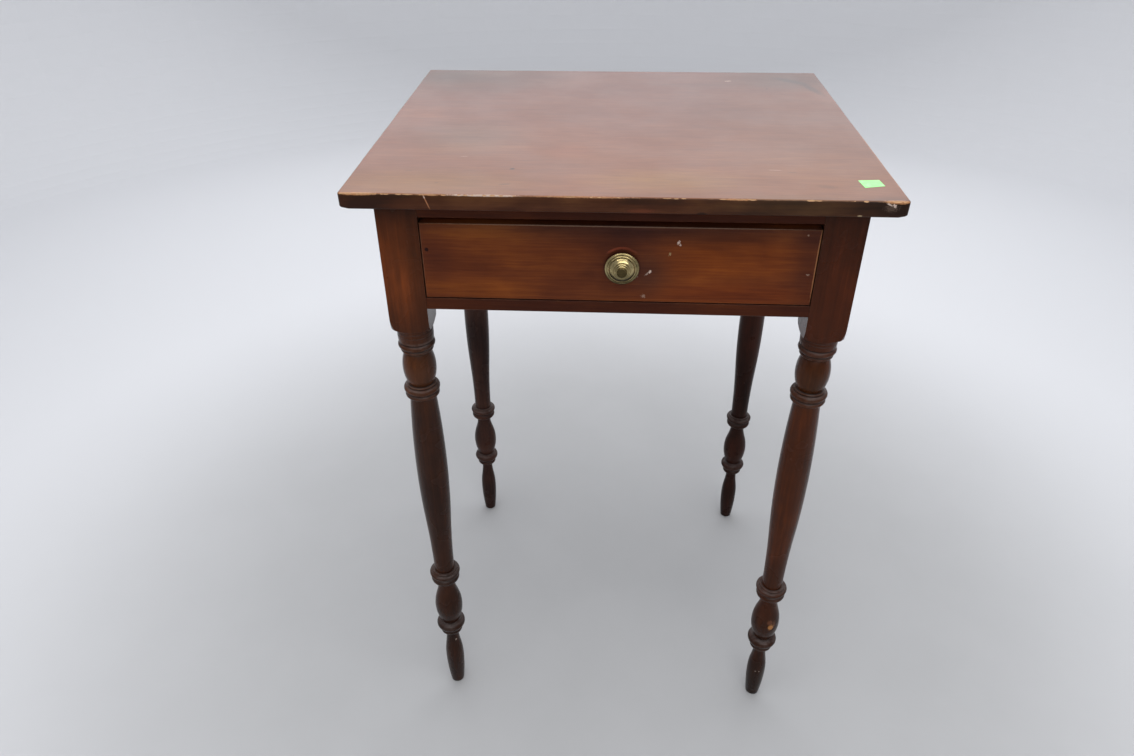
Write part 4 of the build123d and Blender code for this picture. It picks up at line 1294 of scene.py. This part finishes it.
FRONT_MARKS = (
    DRAWER_FACE.tint(-130.0, 621.0, 48.0, 9.0, (1.5, 1.6, 1.0)),
    DRAWER_FACE.tint(-100.0, 655.0, 60.0, 18.0, (0.98, 0.98, 0.9)),
    DRAWER_FACE.tint(98.0, 658.0, 58.0, 22.0, (1.5, 1.45, 0.8)),
    DRAWER_FACE.tint(110.0, 620.0, 80.0, 9.0, (1.05, 0.9, 0.7)),
    DRAWER_FACE.tint(-25.0, 630.0, 50.0, 30.0, (0.8, 0.8, 0.9)),
    DRAWER_FACE.tint(-171.0, 652.0, 14.0, 17.0, (0.76, 0.74, 0.95)),
    DRAWER_FACE.tint(-125.0, 681.0, 60.0, 9.0, (1.4, 1.4, 1.0)),
    DRAWER_FACE.tint(178.0, 650.0, 18.0, 60.0, (0.55, 0.56, 0.9)),
    DRAWER_FACE.tint(12.0, 650.0, 36.0, 30.0, (0.74, 0.76, 1.0)),
    DRAWER_FACE.tint(30.0, 640.0, 14.0, 20.0, (0.72, 0.85, 1.3)),
    # Painted shade: the top of the drawer front darker under the tabletop's overhang.
    DRAWER_FACE.tint(0.0, 689.0, 230.0, 15.0, (0.42, 0.52, 1.0)),
    RingMark((4.5, -193.5, 647.0), (18.9, 9.0, 18.9), RED_TONE, strength=0.85, ragged=0.06, width=1.3),
    DRAWER_FACE.mark(-178.3, 660.8, 1.8, 1.9, (0.016, 0.003, 0.002), ragged=0.15),
    DRAWER_FACE.mark(30.9, 642.4, 1.2, 1.4, PALE_TONE, 20.0, 0.85, 1.7),
    DRAWER_FACE.mark(28.2, 640.2, 2.0, 0.8, PALE_TONE, -42.0, 0.36, 1.8),
    DRAWER_FACE.mark(19.0, 637.0, 1.2, 0.8, WORN_TONE, strength=0.5, ragged=0.9),
    DRAWER_FACE.mark(55.8, 672.4, 1.0, 1.8, PALE_TONE, 24.0, 0.75, 1.6),
    DRAWER_FACE.mark(57.2, 670.0, 1.0, 0.8, PALE_TONE, strength=0.6, ragged=1.6),
    DRAWER_FACE.mark(48.4, 660.9, 1.0, 1.6, (0.30, 0.22, 0.11), 24.0, 0.75, 1.8),
    DRAWER_FACE.mark(25.6, 616.6, 1.8, 1.7, WORN_TONE, strength=0.68, ragged=1.8),
    DRAWER_FACE.mark(171.3, 681.8, 0.8, 0.8, WORN_TONE, strength=0.7, ragged=0.6),
    DRAWER_FACE.mark(176.6, 642.3, 1.4, 0.8, WORN_TONE, strength=0.7, ragged=1.6),
    DRAWER_RIM.mark(0.0, 686.9, 184.0, 0.55, WORN_TONE, strength=0.5),
    DRAWER_RIM.mark(182.9, 652.0, 0.9, 36.0, (0.34, 0.15, 0.065), strength=0.75),
    DRAWER_RIM.mark(-182.9, 652.0, 0.8, 34.0, (0.20, 0.09, 0.05), strength=0.4, ragged=0.6),
)
KNOB_TARNISH_AND_PAINTED_LIGHT = (
    Mark((4.5, -207.6, 647.0), (5.2, 1.6, 5.2), (0.24, 0.22, 0.19), ragged=0.1, way="MULTIPLY"),
    # Painted highlight on the upper half of the knob.
    Mark((4.5, -200.0, 661.5), (15.0, 9.0, 6.0), (1.35, 1.32, 1.25), ragged=0.1, way="MULTIPLY", soft=0.6),
    # Painted shade on the lower half of the knob.
    Mark((4.5, -200.0, 631.5), (15.0, 9.0, 6.0), (0.6, 0.58, 0.55), ragged=0.1, way="MULTIPLY", soft=0.6),
)
LEGS = (
    Handwork("leg_front_left", -1, -1, 1.0, 1.6, 0, (
        tint((-206.0, -194.0, 640.0), (26.0, 16.0, 56.0), (4.6, 3.5, 2.0)),
        # Painted shade: the top of the front left post darker under the tabletop's overhang.
        tint((-206.0, -194.0, 706.0), (30.0, 16.0, 16.0), (0.6, 0.65, 0.8)),
        # Painted sheen: the front left vase made paler and greyer where it shines.
        tint((-203.5, -194.0, 517.0), (24.0, 24.0, 34.0), (2.9, 3.0, 2.6)),
        Mark((-197.9, -184.0, 87.6), (1.3, 4.0, 2.0), PALE_TONE, 30.0, strength=0.5),)),
    Handwork("leg_front_right", 1, -1, 6.0, -6.0, 1, (
        tint((203.0, -194.0, 635.0), (34.0, 20.0, 80.0), (1.58, 1.3, 1.2)),
        tint((203.5, -176.0, 410.0), (40.0, 40.0, 220.0), (2.4, 1.75, 0.8)),
        tint((203.5, -194.0, 522.0), (24.0, 24.0, 30.0), (0.84, 1.12, 1.35)),
        # Painted shade: the lower front right leg darker, for the little light thrown up from the floor.
        tint((203.5, -176.0, 40.0), (40.0, 40.0, 90.0), (0.72, 0.75, 0.72)),
        Mark((207.4, -190.5, 147.4), (3.2, 6.0, 4.2), (0.42, 0.18, 0.055), 10.0, strength=0.85, ragged=1.1),
        Mark((205.6, -190.5, 155.5), (3.4, 6.0, 3.4), (0.16, 0.06, 0.03), strength=0.55, ragged=1.3),
        Mark((211.5, -190.5, 152.0), (2.0, 6.0, 5.0), (0.16, 0.07, 0.035), strength=0.4, ragged=1.3),
        Mark((200.5, -187.0, 53.0), (1.0, 4.0, 0.8), PALE_TONE, strength=0.4),
        Mark((205.2, -187.0, 53.0), (1.0, 4.0, 0.8), PALE_TONE, strength=0.4))),
    Handwork("leg_back_left", -1, 1, 0.0, 0.0, 2, (
        tint((-203.5, 174.5, 300.0), (60.0, 60.0, 400.0), (1.75, 1.7, 1.7)),)),
    Handwork("leg_back_right", 1, 1, -3.5, -3.5, 3, (
        tint((203.5, 174.5, 300.0), (60.0, 60.0, 400.0), (0.95, 0.7, 0.6)),)),
)
LAMPS = (
    SoftBox("ceiling", (0.0, -0.2, 2.5), (0.0, 0.0, 0.4), 2.6, 2.0, 43.0),
    SoftBox("back_window", (0.0, 2.0, 1.65), (0.0, 0.0, 0.8), 3.2, 1.3, 29.5, (0.97, 0.98, 1.0)),
    SoftBox("front_window", (0.3, -2.3, 1.7), (0.0, 0.0, 0.45), 2.2, 1.3, 24.0, (1.0, 0.99, 0.97)),
)


def main() -> None:
    """Builds the table's pieces in order, dresses them and sets the studio."""
    logging.basicConfig(level=logging.INFO, format="%(name)s: %(message)s")
    TurnedLegs().build(LEG_FINISH, BACK_LEG_FINISH, LEGS)
    top = Tabletop()
    top.build(TOP_FINISH, EDGE_FINISH, CHIP_FINISH, TOP_MARKS)
    top.sticker(StickerPaper())
    Knob().build(AgedBrass(), KNOB_TARNISH_AND_PAINTED_LIGHT)
    Joinery().dress_all(FRAME_FINISH, FRONT_FINISH, PlainWood(), DullSteel(), FRONT_MARKS)
    paint = StudioPaint(floor=(0.45, 0.453, 0.46), wall=(0.69, 0.695, 0.715), shaded=(0.40, 0.40, 0.41),
                        floor_reach=0.45, wall_reach=1.2)
    Studio().build(paint, LAMPS)


if __name__ == "__main__":
    main()
